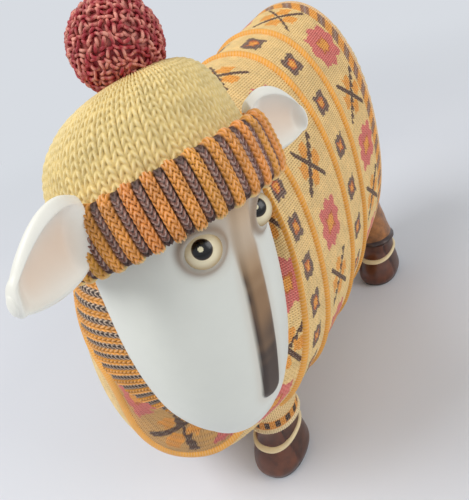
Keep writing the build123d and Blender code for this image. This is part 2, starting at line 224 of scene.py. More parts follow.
@dataclass(frozen=True)
class PaintedResin:
    """Acrylic paint on cast polyresin: thin washes lie in the hollows, high spots are dry-brushed.

    The colour of each spot comes from the piece's own tint attribute, and how high it stands
    in the relief from its relief attribute. The brush grain is far finer on the real one, and is
    drawn at half a millimetre so that it shows.
    """

    name: str
    wash: str = "6b4220"
    wash_strength: float = 0.6
    brush: str = "fff6df"
    brush_strength: float = 0.15
    roughness: float = 0.55
    coat: float = 0.0
    coat_roughness: float = 0.12
    hollow_share: float = 0.72
    mottle: float = 0.10
    mottle_mm: float = 6.0
    grain_mm: float = 0.5
    grain_depth: float = 0.12
    grain_rise_mm: float = 0.2

    def material(self) -> bpy.types.Material:
        """Return the finish as a material.

        Returns:
            The new material.
        """
        material = bpy.data.materials.new(self.name)
        material.use_nodes = True
        tree = material.node_tree
        shader = tree.nodes["Principled BSDF"]
        shader.inputs["Roughness"].default_value = self.roughness
        shader.inputs["Coat Weight"].default_value = self.coat
        shader.inputs["Coat Roughness"].default_value = self.coat_roughness
        place = add_node(tree, "ShaderNodeTexCoord", {}, {}).outputs["Object"]
        tint = add_node(
            tree, "ShaderNodeAttribute", {"attribute_name": "tint"}, {},
        ).outputs["Color"]
        relief = add_node(
            tree, "ShaderNodeAttribute", {"attribute_name": "relief"}, {},
        ).outputs["Fac"]
        cloud = add_node(
            tree, "ShaderNodeTexNoise",
            {"Scale": 1 / (self.mottle_mm * MM), "Detail": 4.0, "Roughness": 0.6},
            {"Vector": place},
        ).outputs["Fac"]
        shade = add_node(
            tree, "ShaderNodeMapRange",
            {"From Min": 0.3, "From Max": 0.7, "To Min": 1 - self.mottle,
             "To Max": 1 + self.mottle},
            {"Value": cloud},
        ).outputs["Result"]
        mottled = add_node(
            tree, "ShaderNodeVectorMath", {"operation": "SCALE"}, {0: tint, "Scale": shade},
        ).outputs["Vector"]
        hollow = add_node(
            tree, "ShaderNodeMapRange",
            {"From Min": 0.0, "From Max": self.hollow_share, "To Min": self.wash_strength,
             "To Max": 0.0, "interpolation_type": "SMOOTHSTEP"},
            {"Value": relief},
        ).outputs["Result"]
        pooled = add_node(
            tree, "ShaderNodeMath", {"operation": "MULTIPLY"}, {0: hollow, 1: shade},
        ).outputs["Value"]
        washed = add_node(
            tree, "ShaderNodeMix", {"data_type": "RGBA", "blend_type": "MULTIPLY"},
            {"Factor": pooled, 6: mottled},
        )
        washed.inputs[7].default_value = linear(self.wash)
        high = add_node(
            tree, "ShaderNodeMapRange",
            {"From Min": self.hollow_share, "From Max": 1.0, "To Min": 0.0,
             "To Max": self.brush_strength},
            {"Value": relief},
        ).outputs["Result"]
        brushed = add_node(
            tree, "ShaderNodeMix", {"data_type": "RGBA"}, {"Factor": high, 6: washed.outputs[2]},
        )
        brushed.inputs[7].default_value = linear(self.brush)
        tree.links.new(brushed.outputs[2], shader.inputs["Base Color"])
        grain = add_node(
            tree, "ShaderNodeTexNoise", {"Scale": 1 / (self.grain_mm * MM), "Detail": 3.0},
            {"Vector": place},
        ).outputs["Fac"]
        bumps = add_node(
            tree, "ShaderNodeBump",
            {"Strength": self.grain_depth, "Distance": self.grain_rise_mm * MM}, {"Height": grain},
        ).outputs["Normal"]
        tree.links.new(bumps, shader.inputs["Normal"])
        return material


@dataclass(frozen=True)
class BareStock:
    """An unpainted pin or peg: faint clouds left by how it was made, and a dull sheen."""

    name: str
    colour: str
    metallic: float
    roughness: float
    cloud_mm: float = 0.4
    dim: float = 0.8

    def material(self) -> bpy.types.Material:
        """Return the finish as a material.

        Returns:
            The new material.
        """
        material = bpy.data.materials.new(self.name)
        material.use_nodes = True
        tree = material.node_tree
        shader = tree.nodes["Principled BSDF"]
        shader.inputs["Metallic"].default_value = self.metallic
        shader.inputs["Roughness"].default_value = self.roughness
        place = add_node(tree, "ShaderNodeTexCoord", {}, {}).outputs["Object"]
        clouds = add_node(
            tree, "ShaderNodeTexNoise", {"Scale": 1 / (self.cloud_mm * MM), "Detail": 2.0},
            {"Vector": place},
        ).outputs["Fac"]
        ramp = add_node(tree, "ShaderNodeValToRGB", {}, {"Fac": clouds})
        base = linear(self.colour)
        ramp.color_ramp.elements[0].color = tuple(self.dim * part for part in base[:3]) + (1.0,)
        ramp.color_ramp.elements[1].color = base
        tree.links.new(ramp.outputs["Color"], shader.inputs["Base Color"])
        return material


class Finish(Enum):
    """Every finish on the figurine, each a material made once."""

    # Matt hand-painted resin with a strong umber wash: the knit reads by its dark hollows
    KNIT = PaintedResin("painted_resin_knit", wash="8e5620", wash_strength=1.0, brush="fff2d4",
                        brush_strength=0.35)
    # The hat's cream yellow, washed with ochre
    CROWN = PaintedResin("painted_resin_crown_knit", wash="a07a30", wash_strength=0.95,
                         brush="fff4cc", brush_strength=0.35, mottle=0.08)
    # Orange and brown ribs with a near-black wash and pale dry-brushed stitch tops
    RIB = PaintedResin("painted_resin_rib", wash="4a200e", wash_strength=1.0, brush="f8dcc0",
                       brush_strength=0.42, mottle=0.18, mottle_mm=4.0)
    # Smooth golden cords, lightly washed
    CORD = PaintedResin("painted_resin_cord", wash="a06014", wash_strength=0.6, brush_strength=0.2)
    # Crimson yarn with pink dry-brushing on the loops
    POMPOM = PaintedResin("painted_resin_yarn_ball", wash="a8383c", wash_strength=0.6,
                          brush="f4ccb8", brush_strength=0.7, mottle=0.25, mottle_mm=2.5)
    # Satin off-white enamel paint, smooth, with faint warm smudges
    FACE = PaintedResin("satin_white_paint", wash="b8a894", wash_strength=0.5, brush_strength=0.0,
                        roughness=0.42, mottle=0.025, mottle_mm=14.0, grain_depth=0.05,
                        grain_mm=0.9)
    # Brown leather-look paint under gloss varnish
    BOOT = PaintedResin("varnished_brown_paint", wash="1c0a04", wash_strength=0.7, brush="b08a70",
                        brush_strength=0.05, roughness=0.36, coat=0.25, mottle=0.45, mottle_mm=4.0)
    # Cream piping, matt paint with a brown wash along its edges
    PIPING = PaintedResin("cream_piping_paint", wash="8a6a44", wash_strength=0.5,
                          brush_strength=0.1)
    # Moulded wool in cream with a tan wash that draws the curls
    WOOL = PaintedResin("painted_resin_wool", wash="a07848", wash_strength=0.8, brush_strength=0.25,
                        mottle=0.10, mottle_mm=5.0)
    # Glossy eye: smooth varnish, so the lamp shows in it
    EYE = PaintedResin("varnished_eye_paint", wash="a08a60", wash_strength=0.0, brush_strength=0.0,
                       roughness=0.22, coat=0.0, mottle=0.01, grain_depth=0.0)
    # Steel wire pins, hidden inside: grey metal with a dull sheen
    PIN = BareStock("drawn_steel_wire", "8c8c8c", 1.0, 0.35)
    # Bare resin pegs, hidden inside: pale and matt
    PEG = BareStock("bare_cast_resin", "d8d0c0", 0.0, 0.6)

    def dress(self, piece: bpy.types.Object) -> None:
        """Give a piece this finish, in its only material slot.

        Args:
            piece: the piece.
        """
        made = bpy.data.materials.get(self.value.name) or self.value.material()
        piece.data.materials.clear()
        piece.data.materials.append(made)


# Meshes


def read_points(mesh: bpy.types.Mesh) -> Points:
    """Return a mesh's vertices as rows.

    Args:
        mesh: the mesh.

    Returns:
        One row of three numbers per vertex.
    """
    flat = np.empty(len(mesh.vertices) * 3)
    mesh.vertices.foreach_get("co", flat)
    return flat.reshape(-1, 3)


def write_points(mesh: bpy.types.Mesh, points: Points) -> None:
    """Move a mesh's vertices to rows of points."""
    mesh.vertices.foreach_set("co", np.ascontiguousarray(points, dtype=np.float32).ravel())
    mesh.update()


def read_value(mesh: bpy.types.Mesh, name: str) -> Points:
    """Return one number per vertex from an attribute.

    Args:
        mesh: the mesh.
        name: the attribute's name.

    Returns:
        The numbers.
    """
    values = np.empty(len(mesh.vertices))
    mesh.attributes[name].data.foreach_get("value", values)
    return values


def read_grid(piece: bpy.types.Object) -> tuple[Points, Points]:
    """Return where each vertex of a patch stands on it, round it and along it, from 0 to 1."""
    return read_value(piece.data, "u"), read_value(piece.data, "v")


def write_value(mesh: bpy.types.Mesh, name: str, values: Points) -> None:
    """Keep one number per vertex in an attribute."""
    layer = mesh.attributes.get(name) or mesh.attributes.new(name, "FLOAT", "POINT")
    layer.data.foreach_set("value", np.ascontiguousarray(values, dtype=np.float32))


def write_tint(mesh: bpy.types.Mesh, colours: Points) -> None:
    """Keep one colour per vertex in the tint attribute."""
    layer = mesh.attributes.get("tint") or mesh.attributes.new("tint", "FLOAT_COLOR", "POINT")
    layer.data.foreach_set("color", np.ascontiguousarray(colours, dtype=np.float32).ravel())


def add_piece(name: str, mesh: bpy.types.Mesh) -> bpy.types.Object:
    """Link a mesh into the scene as a smooth shaded piece.

    Args:
        name: the piece's name.
        mesh: its mesh.

    Returns:
        The new object.
    """
    piece = bpy.data.objects.new(name, mesh)
    bpy.context.scene.collection.objects.link(piece)
    mesh.polygons.foreach_set("use_smooth", [True] * len(mesh.polygons))
    return piece


def patch(name: str, across: int, along: int, place: Placer) -> bpy.types.Object:
    """Carry a flat grid onto a surface and weld its seams and poles.

    Args:
        name: the piece's name.
        across: steps round the surface, kept as attribute u from 0 to 1.
        along: steps along it, kept as attribute v from 0 to 1.
        place: gives points in metres for u and v.

    Returns:
        The new piece, with outward normals.
    """
    grid = bmesh.new()
    bmesh.ops.create_grid(grid, x_segments=across, y_segments=along, size=0.5)
    mesh = bpy.data.meshes.new(name)
    grid.to_mesh(mesh)
    grid.free()
    flat = read_points(mesh)
    u, v = flat[:, 0] + 0.5, flat[:, 1] + 0.5
    write_value(mesh, "u", u)
    write_value(mesh, "v", v)
    write_points(mesh, place(u, v))
    weld(mesh)
    return add_piece(name, mesh)


def weld(mesh: bpy.types.Mesh, distance: float = 0.004 * MM) -> None:
    """Merge a mesh's doubled vertices and point its faces outwards.

    Args:
        mesh: the mesh.
        distance: how near two vertices are to count as one, in metres.
    """
    work = bmesh.new()
    work.from_mesh(mesh)
    bmesh.ops.remove_doubles(work, verts=work.verts, dist=distance)
    bmesh.ops.recalc_face_normals(work, faces=work.faces)
    work.to_mesh(mesh)
    work.free()


def raise_relief(piece: bpy.types.Object, heights: Points) -> None:
    """Push a piece's vertices out along their normals by heights in mm.

    Args:
        piece: the piece.
        heights: one height per vertex, in mm.
    """
    mesh = piece.data
    normals = np.empty(len(mesh.vertices) * 3, dtype=np.float32)
    mesh.vertex_normals.foreach_get("vector", normals)
    points = read_points(mesh) + normals.reshape(-1, 3) * (heights * MM)[:, None]
    write_points(mesh, points)


def finish_piece(piece: bpy.types.Object, finish: Finish, tint: Points, relief: Points,
                 slot: str, *nodes: str) -> None:
    """Paint a piece, set it on its body and hide the CAD nodes it stands for.

    Args:
        piece: the finished mesh.
        finish: its material.
        tint: one colour for all, or one per vertex.
        relief: one height share for all, or one per vertex.
        slot: the record's material slot; not used.
        nodes: CAD nodes that it replaces.
    """
    mesh = piece.data
    count = len(mesh.vertices)
    write_tint(mesh, np.broadcast_to(tint, (count, 4)))
    write_value(mesh, "relief", np.broadcast_to(relief, (count,)))
    for name in ("u", "v"):
        if mesh.attributes.get(name):
            mesh.attributes.remove(mesh.attributes[name])
    finish.dress(piece)
    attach(piece, "root")
    if nodes:
        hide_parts(*nodes)
    LOG.info("%s: %d vertices, %d faces", piece.name, count, len(mesh.polygons))


# Knitting


def stitch_climb(wales: Points, courses: Points) -> Points:
    """Return the place within each stitch, along its slanted leg, from 0 to 1."""
    return (courses - np.abs(wales % 1.0 - 0.5) * 2.0) % 1.0


def stitch_relief(wales: Points, courses: Points, groove: float = 0.5) -> Points:
    """Return how high a knitted fabric stands, from 0 in the hollows to 1 on the yarn.

    Args:
        wales: place across the V columns, one per column.
        courses: place along them, one per stitch.
        groove: how deep the line between two legs is, as a share of the hollow between stitches.

    Returns:
        Height shares.
    """
    leg = np.abs(wales % 1.0 - 0.5) * 2.0
    across = np.sqrt(np.clip(np.sin(np.pi * leg), 0.0, 1.0))
    along = np.sqrt(np.clip(np.sin(np.pi * stitch_climb(wales, courses)), 0.0, 1.0))
    return (1.0 - groove + groove * across) * along


def shade_stitches(tint: Points, wales: Points, courses: Points, seed: int, depth: float) -> Points:
    """Make each stitch a little lighter or darker, the same all over it.

    Args:
        tint: one colour per vertex.
        wales: place across the columns, one per column.
        courses: place along them, one per stitch.
        seed: picks the random table.
        depth: the largest change.

    Returns:
        One colour per vertex.
    """
    table = noise_table(SHADE_TABLE, seed)
    across, along = SHADE_STRIDES
    cell = np.floor(wales).astype(int) * across + np.floor(courses).astype(int) * along
    shade = 1.0 + depth * table[cell % SHADE_TABLE]
    return np.concatenate([tint[:, :3] * shade[:, None], tint[:, 3:]], axis=1)


# Body


@dataclass(frozen=True)
class Ring:
    """One cross section of the body, in mm from the middle between the feet, and degrees."""

    side: float
    place: float
    centre: float
    width: float
    rise: float
    drop: float
    turn: float
    tilt: float

    def row(self) -> list[float]:
        """Return the section as a row of numbers."""
        return [self.side, self.place, self.centre, self.width, self.rise, self.drop,
                self.turn, self.tilt]


@dataclass(frozen=True)
class Body:
    """The body's skin from the hem to the head, and the place of the figurine in the frame."""

    origin: tuple[float, float]
    exponent: float = 2.2
    cord_ahead: float = 8.0
    cord_back: float = 4.0
    collar_ahead: float = 8.5
    right_flank: float = 0.81
    chin: float = 0.93
    belly: float = 1.0
    hem: Ring = Ring(0, 49.0, 77.3, 30.5, 56.2, 55.3, 0, 2)
    rear: Ring = Ring(0, 19.9, 71.4, 31.9, 58.5, 56.4, 0, 3)
    middle: Ring = Ring(0, 1.2, 68.4, 33.4, 59.5, 55.3, 0, 4)
    shoulder: Ring = Ring(0, -28.9, 68.8, 36.2, 56.9, 54.1, 0, 4)
    front: Ring = Ring(0, -47.5, 71.7, 38.5, 53.4, 52.1, 0, 10)
    chest: Ring = Ring(0, -60.0, 77.0, 34.5, 42.1, 52.1, 12, 26)
    chest_cord: Ring = Ring(5.0, -68.0, 78.6, 26.6, 34.0, 42.7, 26, 28)
    collar_base: Ring = Ring(10.0, -72.1, 82.1, 22.5, 27.0, 34.0, 38, 24)
    collar_middle: Ring = Ring(17.3, -74.4, 86.6, 20.0, 21.9, 30.4, 54, 16)
    collar_end: Ring = Ring(26.0, -75.0, 90.0, 17.5, 17.8, 26.0, 72, 8)

    def rings(self) -> list[Ring]:
        """Return the sections in order from the rear."""
        return [self.hem, self.rear, self.middle, self.shoulder, self.front, self.chest,
                self.chest_cord, self.collar_base, self.collar_middle, self.collar_end]

    def knots(self) -> Points:
        """Return how far along the body each section stands, in mm from the hem.

        Returns:
            One place per section.
        """
        rows = np.array([ring.row() for ring in self.rings()])
        steps = np.linalg.norm(np.diff(rows[:, :3], axis=0), axis=1)
        return np.concatenate([[0.0], np.cumsum(steps)])

    def where(self, ring: Ring) -> float:
        """Return how far along the body one section stands."""
        return float(self.knots()[self.rings().index(ring)])

    def at(self, u: Points, along: Points, grow: Points | float = 0.0) -> Points:
        """Return points of the skin.

        Args:
            u: share of the way round, from the belly over the left flank.
            along: mm forwards from the hem.
            grow: mm outwards in the plane of the section.

        Returns:
            Points in metres in the frame.
        """
        rows = np.array([ring.row() for ring in self.rings()])
        levels, index = np.unique(np.round(along, 6), return_inverse=True)
        values = spline(self.knots(), rows, levels)
        grown = np.broadcast_to(grow, u.shape)
        points = np.empty((len(u), 3))
        angle = np.linspace(-np.pi / 2, 1.5 * np.pi, OUTLINE_STEPS)
        flat_across, flat_up = superellipse(angle, self.exponent)
        order = np.argsort(index, kind="stable")
        starts = np.searchsorted(index[order], np.arange(len(levels) + 1))
        for level, value in enumerate(values):
            picked = order[starts[level]:starts[level + 1]]
            side, place, centre, width, rise, drop, turn, tilt = value
            outline_x = flat_across * width
            outline_z = flat_up * np.where(flat_up > 0, rise, drop)
            steps = np.hypot(np.diff(outline_x), np.diff(outline_z))
            length = np.concatenate([[0.0], np.cumsum(steps)])
            at_angle = np.interp(u[picked] * length[-1], length, angle)
            across, up = superellipse(at_angle, self.exponent)
            more = grown[picked]
            x = across * (width + more)
            z = up * (np.where(up > 0, rise, drop) + more)
            turn, tilt = math.radians(turn), math.radians(tilt)
            left = np.array([math.cos(turn), math.sin(turn), 0.0])
            ahead = np.array([
                math.sin(turn) * math.cos(tilt), -math.cos(turn) * math.cos(tilt), math.sin(tilt),
            ])
            upward = np.cross(ahead, left)
            middle = np.array([side, place, centre])
            points[picked] = middle + np.outer(x, left) + np.outer(z, upward)
        return (points + self.shift()) * MM

    def drift(self, u: Points) -> Points:
        """Return how many mm ahead the chest cord runs on the right flank, and back below."""
        back = self.cord_back * bell_round(u, self.belly, 0.13)
        return self.cord_ahead * bell_round(u, self.right_flank, 0.09) - back

    def throat(self, u: Points) -> Points:
        """Return how many mm ahead the collar's lower edge runs under the chin."""
        return self.collar_ahead * bell_round(u, self.chin, 0.17)

    def shift(self) -> Points:
        """Return the frame place, in mm, of the floor point between the feet."""
        return np.array([self.origin[0], self.origin[1], 0.0])


class Motif(Enum):
    """What is knitted in a row of the sweater."""

    CROSS_AND_STAR = "cross and star"
    SQUARE = "square"


@dataclass(frozen=True)
class Panel:
    """One knitted stretch of the sweater between two cords, in mm forwards from the hem."""

    name: str
    start: float
    end: float
    motif: Motif
    centre: float
    count: int = 14
    first_share: float = 0.0
    stripe_end: float = -1.0
    girth: float = 290.0
    ground: str = "f0cd8a"


@dataclass(frozen=True)
class Sweater:
    """The knitted sweater: panels of V stitches with their motifs, and raised cords, in mm."""

    body: Body
    wale_count: int = 174
    course: float = 1.35
    relief: float = 0.55
    steps_per_wale: int = 6
    steps_per_course: int = 4
    cord_radius: float = 1.3
    cord_pitch: float = 1.1
    cord_girth: float = 280.0
    cord_relief: float = 0.14
    cord_slant: float = 0.35
    cord_across: int = 900
    cord_along: int = 14
    motif_start: float = 0.4786
    edge_roll: float = 1.6
    rim: float = 2.2
    hem_stripe: float = 3.9
    brown: str = "5c3c2c"
    mauve: str = "a08478"
    dull_brown: str = "96694c"
    orange: str = "efa23c"
    rust: str = "c8642a"
    pink: str = "dc7068"
    rim_cream: str = "efc48c"
    cord: str = "e8a02c"
    cell_start: float = 2.4
    cell_side: float = 6.9
    cell_up: float = 7.2
    cell_half: float = 2.3
    arm_half: float = 1.15
    arm_reach: float = 7.7
    star_reach: float = 6.6
    star_jag: float = 2.0
    star_heart: tuple[float, float] = (2.0, 2.5)
    star_edge: float = 0.7
    square: tuple[float, float] = (3.5, 3.8)
    square_heart: tuple[float, float] = (1.1, 1.3)
    square_edge: float = 0.6

    def panels(self) -> list[Panel]:
        """Return the stretches from the hem to the neck.

        Returns:
            The panels in order.
        """
        body = self.body
        hem, rear, middle = body.where(body.hem), body.where(body.rear), body.where(body.middle)
        shoulder, front = body.where(body.shoulder), body.where(body.front)
        chest, neck = body.where(body.chest_cord), body.where(body.collar_base)
        pair, square = Motif.CROSS_AND_STAR, Motif.SQUARE
        return [
            Panel("sweater_rear", hem, rear, pair, 15.8, stripe_end=7.2),
            Panel("sweater_squares_rear", rear, middle, square, 39.2, count=18),
            Panel("sweater_middle", middle, shoulder, pair, 64.2),
            Panel("sweater_squares_front", shoulder, front, square, 88.4, count=23),
            Panel("sweater_chest", front, chest, pair, 105.5),
            # The neck panel's darker ochre ground is painted shade: the head's shadow on the cream
            # knit below the collar
            Panel("sweater_neck", chest, neck + 9.0, pair, (chest + neck) / 2 + 4.5, count=10,
                  first_share=0.0864, girth=190.0, ground="d6a45e"),
        ]

    def build(self) -> None:
        """Make every panel and cord."""
        for panel in self.panels():
            self.build_panel(panel)
        body = self.body
        corded = (body.rear, body.middle, body.shoulder, body.front, body.chest_cord)
        for number, ring in enumerate(corded):
            self.build_cord(f"sweater_cord_{number}", body.where(ring))

    def build_panel(self, panel: Panel) -> None:
        """Knit one panel.

        Args:
            panel: what it is and where.
        """
        span = panel.end - panel.start
        courses = max(4, round(span / self.course))
        hem_edge = panel.start == self.body.where(self.body.hem)
        cord = self.body.where(self.body.chest_cord)

        def place(u: Points, v: Points) -> Points:
            """Return points of the panel.

            Args:
                u: share of the way round.
                v: share of the way along.

            Returns:
                Points in metres.
            """
            grow = np.where(v < FIRST_ROW, -self.edge_roll, 0.0) if hem_edge else 0.0
            share = (panel.end == cord) * v + (panel.start == cord) * (1.0 - v)
            along = panel.start + span * v + self.body.drift(u) * share
            return self.body.at(u, np.round(along, 2), grow)

        across, along = self.wale_count * self.steps_per_wale, courses * self.steps_per_course
        piece = patch(panel.name, across, along, place)
        u, v = read_grid(piece)
        wales, rows = u * self.wale_count, v * courses
        relief = stitch_relief(wales, rows)
        edge = smooth_step(self.rim - 0.6, self.rim, v * span) if hem_edge else 1.0
        raise_relief(piece, (relief - LEVEL) * self.relief * edge)
        tint = self.colours(panel, u, v, wales, rows)
        finish_piece(piece, Finish.KNIT, tint, relief, "sweater", "sweater_body")

    def colours(self, panel: Panel, u: Points, v: Points, wales: Points, rows: Points) -> Points:
        """Return the colour of each vertex of a panel.

        Args:
            panel: the panel.
            u: share of the way round.
            v: share of the way along the panel.
            wales: place across the V columns.
            rows: place along them.

        Returns:
            One colour per vertex.
        """
        span = panel.end - panel.start
        # The ground colour; on the neck panel it holds painted shade from the head
        colours = np.tile(paint(panel.ground), (len(u), 1))
        wander = 0.3 * np.sin(wales * 2.1 + rows * 1.7) + 0.25 * np.sin(rows * 3.1 - wales * 1.3)
        steps = (u - self.motif_start - panel.first_share) * panel.count
        number = np.round(steps)
        middle = (panel.centre - panel.start) / span
        across = (steps - number) / panel.count * panel.girth + wander
        along = (v - middle) * span * self.stretch(panel, u) + wander
        if panel.motif is Motif.CROSS_AND_STAR:
            crossing = number % 2 == 0
            self.draw_cross(colours, across, along, crossing)
            self.draw_star(colours, across, along, ~crossing)
        else:
            self.draw_square(colours, across, along, stitch_climb(wales, rows))
        if panel.stripe_end > 0:
            place = v * span
            lean = (u * panel.girth + 0.5 * place) / self.hem_stripe
            band = (place > self.rim) & (place < panel.stripe_end)
            stripe = np.floor(lean) % 2 == 0
            colours[band & ~stripe] = paint(self.orange)
            colours[band & stripe] = paint(self.dull_brown)
            colours[band & stripe & (np.abs(lean % 1.0 - 0.5) < 0.12)] = paint(self.mauve)
            colours[place <= self.rim] = paint(self.rim_cream)
        return shade_stitches(colours, wales, rows, seed=5, depth=0.07)

    def stretch(self, panel: Panel, u: Points) -> Points:
        """Return how much the skin stretches a panel's length at each share of the way round.

        Args:
            panel: the panel.
            u: share of the way round.

        Returns:
            One factor per vertex.
        """
        share = np.linspace(0.0, 1.0, 361)
        step = 2.0
        low = self.body.at(share, np.full_like(share, panel.centre - step))
        high = self.body.at(share, np.full_like(share, panel.centre + step))
        reach = np.linalg.norm(high - low, axis=1) / MM / (2 * step)
        return np.interp(u, share, np.clip(reach, 0.7, 2.5))

    def draw_cross(self, colours: Points, across: Points, along: Points, where: Points) -> None:
        """Paint a diagonal cross with an orange cell in each quarter.

        Args:
            colours: the colours to change.
            across: mm across from the motif's middle.
            along: mm along from it.
            where: the vertices that carry crosses.
        """
        x, y = np.abs(across), np.abs(along)
        start, half = self.cell_start, self.cell_half
        beside = (x > start) & (x < self.cell_side) & (y < half)
        above = (y > start) & (y < self.cell_up) & (x < half)
        line = (np.abs(x - y) < self.arm_half) & (np.maximum(x, y) < self.arm_reach)
        colours[where & (beside | above)] = paint(self.orange)
        colours[where & line] = paint(self.brown)

    def draw_star(self, colours: Points, across: Points, along: Points, where: Points) -> None:
        """Paint a jagged rose star with an orange heart.

        Args:
            colours: the colours to change.
            across: mm across from the motif's middle.
            along: mm along from it.
            where: the vertices that carry stars.
        """
        x, y = np.abs(across), np.abs(along)
        angle = np.arctan2(along, across)
        power = 2.6
        radius = (x**power + y**power) ** (1 / power)
        reach = self.star_reach + self.star_jag * np.abs((8 * angle / np.pi) % 2 - 1)
        wide, tall = self.star_heart
        framed = (x < wide + self.star_edge) & (y < tall + self.star_edge)
        colours[where & (radius < reach)] = paint(self.pink)
        colours[where & framed] = paint(self.rust)
        colours[where & (x < wide) & (y < tall)] = paint(self.orange)

    def draw_square(self, colours: Points, across: Points, along: Points, climb: Points) -> None:
        """Paint a small square of dark V strokes with an orange heart.

        Args:
            colours: the colours to change.
            across: mm across from the motif's middle.
            along: mm along from it.
            climb: place within the stitch, from 0 to 1.
        """
        x, y = np.abs(across), np.abs(along)
        square = (x < self.square[0]) & (y < self.square[1])
        wide, tall = self.square_heart
        colours[square] = paint(self.brown)
        colours[square & (climb > 0.78)] = paint(self.mauve)
        colours[(x < wide + self.square_edge) & (y < tall + self.square_edge)] = paint(self.rust)
        colours[(x < wide) & (y < tall)] = paint(self.orange)

    def build_cord(self, name: str, along: float) -> None:
        """Lay one raised cord round the body, with its slanted stitches.

        Args:
            name: the piece's name.
            along: mm forwards from the hem.
        """
        radius = self.cord_radius
        slide = along == self.body.where(self.body.chest_cord)

        def place(u: Points, v: Points) -> Points:
            """Return points round the cord.

            Args:
                u: share of the way round the body.
                v: share of the way round the cord.

            Returns:
                Points in metres.
            """
            angle = 2 * np.pi * v
            ahead = along + self.body.drift(u) * slide + radius * np.sin(angle)
            return self.body.at(u, np.round(ahead, 2), radius * np.cos(angle))

        piece = patch(name, self.cord_across, self.cord_along, place)
        u, v = read_grid(piece)
        turns = round(self.cord_girth / self.cord_pitch)
        slant = np.sin(2 * np.pi * v) * self.cord_slant
        relief = np.abs(np.sin(np.pi * (u * turns + slant)))
        raise_relief(piece, (relief - 0.7) * self.cord_relief)
        height = 0.5 + 0.5 * relief
        finish_piece(piece, Finish.CORD, paint(self.cord), height, "sweater", "sweater_body")


@dataclass(frozen=True)
class Collar:
    """The ribbed turtleneck, in mm: orange chains between dark and pale chevrons."""

    body: Body
    wale_count: int = 84
    course: float = 1.5
    steps_per_wale: int = 8
    steps_per_course: int = 6
    grow: float = 1.0
    edge_roll: float = 1.5
    relief: float = 0.8
    ridge: float = 0.5
    pale_share: float = 0.45
    orange: str = "dc9430"
    dark: str = "34201a"
    pale: str = "e2cdb6"

    def build(self) -> None:
        """Knit the collar."""
        body = self.body
        start, end = body.where(body.collar_base) - 0.8, body.where(body.collar_end)
        courses = round((end - start) / self.course)

        def place(u: Points, v: Points) -> Points:
            """Return points of the collar.

            Args:
                u: share of the way round.
                v: share of the way along.

            Returns:
                Points in metres.
            """
            inward = np.where(v < FIRST_ROW, -self.edge_roll, 0.0)
            along = start + (end - start) * v + body.throat(u) * (1.0 - v)
            return body.at(u, np.round(along, 2), self.grow + inward)

        across, along = self.wale_count * self.steps_per_wale, courses * self.steps_per_course
        piece = patch("collar_rib", across, along, place)
        u, v = read_grid(piece)
        wales, rows = u * self.wale_count, v * courses
        relief = stitch_relief(wales, rows)
        odd = np.floor(wales) % 2 == 1
        ridge = np.where(odd, 0.0, self.ridge)
        raise_relief(piece, (relief + ridge - LEVEL) * self.relief)
        stripe = stitch_climb(wales, rows) < self.pale_share
        chevrons = np.where(stripe[:, None], paint(self.pale), paint(self.dark))
        tint = np.where(odd[:, None], chevrons, paint(self.orange))
        tint = shade_stitches(tint, wales, rows, seed=11, depth=0.12)
        finish_piece(piece, Finish.RIB, tint, relief, "rib", "turtleneck_collar")


@dataclass(frozen=True)
class Rump:
    """The moulded wool behind the hem, and the tail, in mm."""

    body: Body
    length: float = 20.0
    inset: float = 1.9
    tucked_share: float = 0.107
    tucked: float = 4.0
    curl: float = 3.4
    relief: float = 0.9
    tail_curl: float = 2.6
    tail_relief: float = 0.6
    wool: str = "e6cfa4"

    def build(self) -> None:
        """Make the wool dome and the tail."""
        body = self.body
        hem = body.hem

        def place(u: Points, v: Points) -> Points:
            """Return points of the wool dome.

            Args:
                u: share of the way round.
                v: share of the way along.

            Returns:
                Points in metres.
            """
            points = body.at(u, np.zeros_like(u), -self.inset)
            centre = (np.array([hem.side, hem.place, hem.centre]) + body.shift()) * MM
            swing = np.clip(v * 1.12 - 0.12, 0.0, 1.0) * np.pi / 2  # Starts where the wool shows
            size = np.cos(swing)[:, None] ** 0.85
            under = (v - self.tucked_share) / self.tucked_share * self.tucked
            back = np.where(v < self.tucked_share, under, np.sin(swing) * self.length)
            moved = centre + (points - centre) * size
            moved[:, 1] += back * MM
            return moved

        piece = patch("rump_wool", 260, 130, place)
        curls(piece, self.wool, self.curl, self.relief, "fleece_rump")
        low, high = (np.array(corner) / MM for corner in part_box("tail"))
        middle, reach = (low + high) / 2, (high - low) / 2

        def tail_place(u: Points, v: Points) -> Points:
            """Return points of the tail.

            Args:
                u: share of the way round.
                v: share of the way along.

            Returns:
                Points in metres.
            """
            swing = (v - 0.5) * np.pi
            round_x, round_y = np.cos(2 * np.pi * u), np.sin(2 * np.pi * u)
            width = np.cos(swing) ** 0.8
            return np.stack([
                middle[0] + reach[0] * width * round_x,
                middle[1] + reach[1] * width * round_y,
                middle[2] - reach[2] * np.sin(swing),
            ], axis=1) * MM

        tail = patch("tail_wool", 72, 72, tail_place)
        curls(tail, self.wool, self.tail_curl, self.tail_relief, "tail")


def curls(piece: bpy.types.Object, colour: str, size: float, depth: float, node: str) -> None:
    """Cover a piece with small moulded curls of wool.

    Args:
        piece: the piece.
        colour: hex colour of the wool.
        size: width of a curl in mm.
        depth: relief in mm.
        node: the CAD node that it replaces.
    """
    points = read_points(piece.data) / MM
    seeds = spread(points, size)
    nearest, distance, offset = closest(points, seeds)
    angle = np.arctan2(offset[:, 2], offset[:, 0] + offset[:, 1])
    spin = noise_table(len(seeds), 3)[nearest] * np.pi
    spiral = np.sin(distance * (2 * np.pi / (size * 0.42)) - angle + spin)
    dome = 1.0 - smooth_step(0.2 * size, 0.62 * size, distance)
    heights = dome * 0.6 + (0.5 + 0.5 * spiral) * 0.4
    raise_relief(piece, (heights - 0.4) * depth)
    finish_piece(piece, Finish.WOOL, paint(colour), heights, "wool", node)


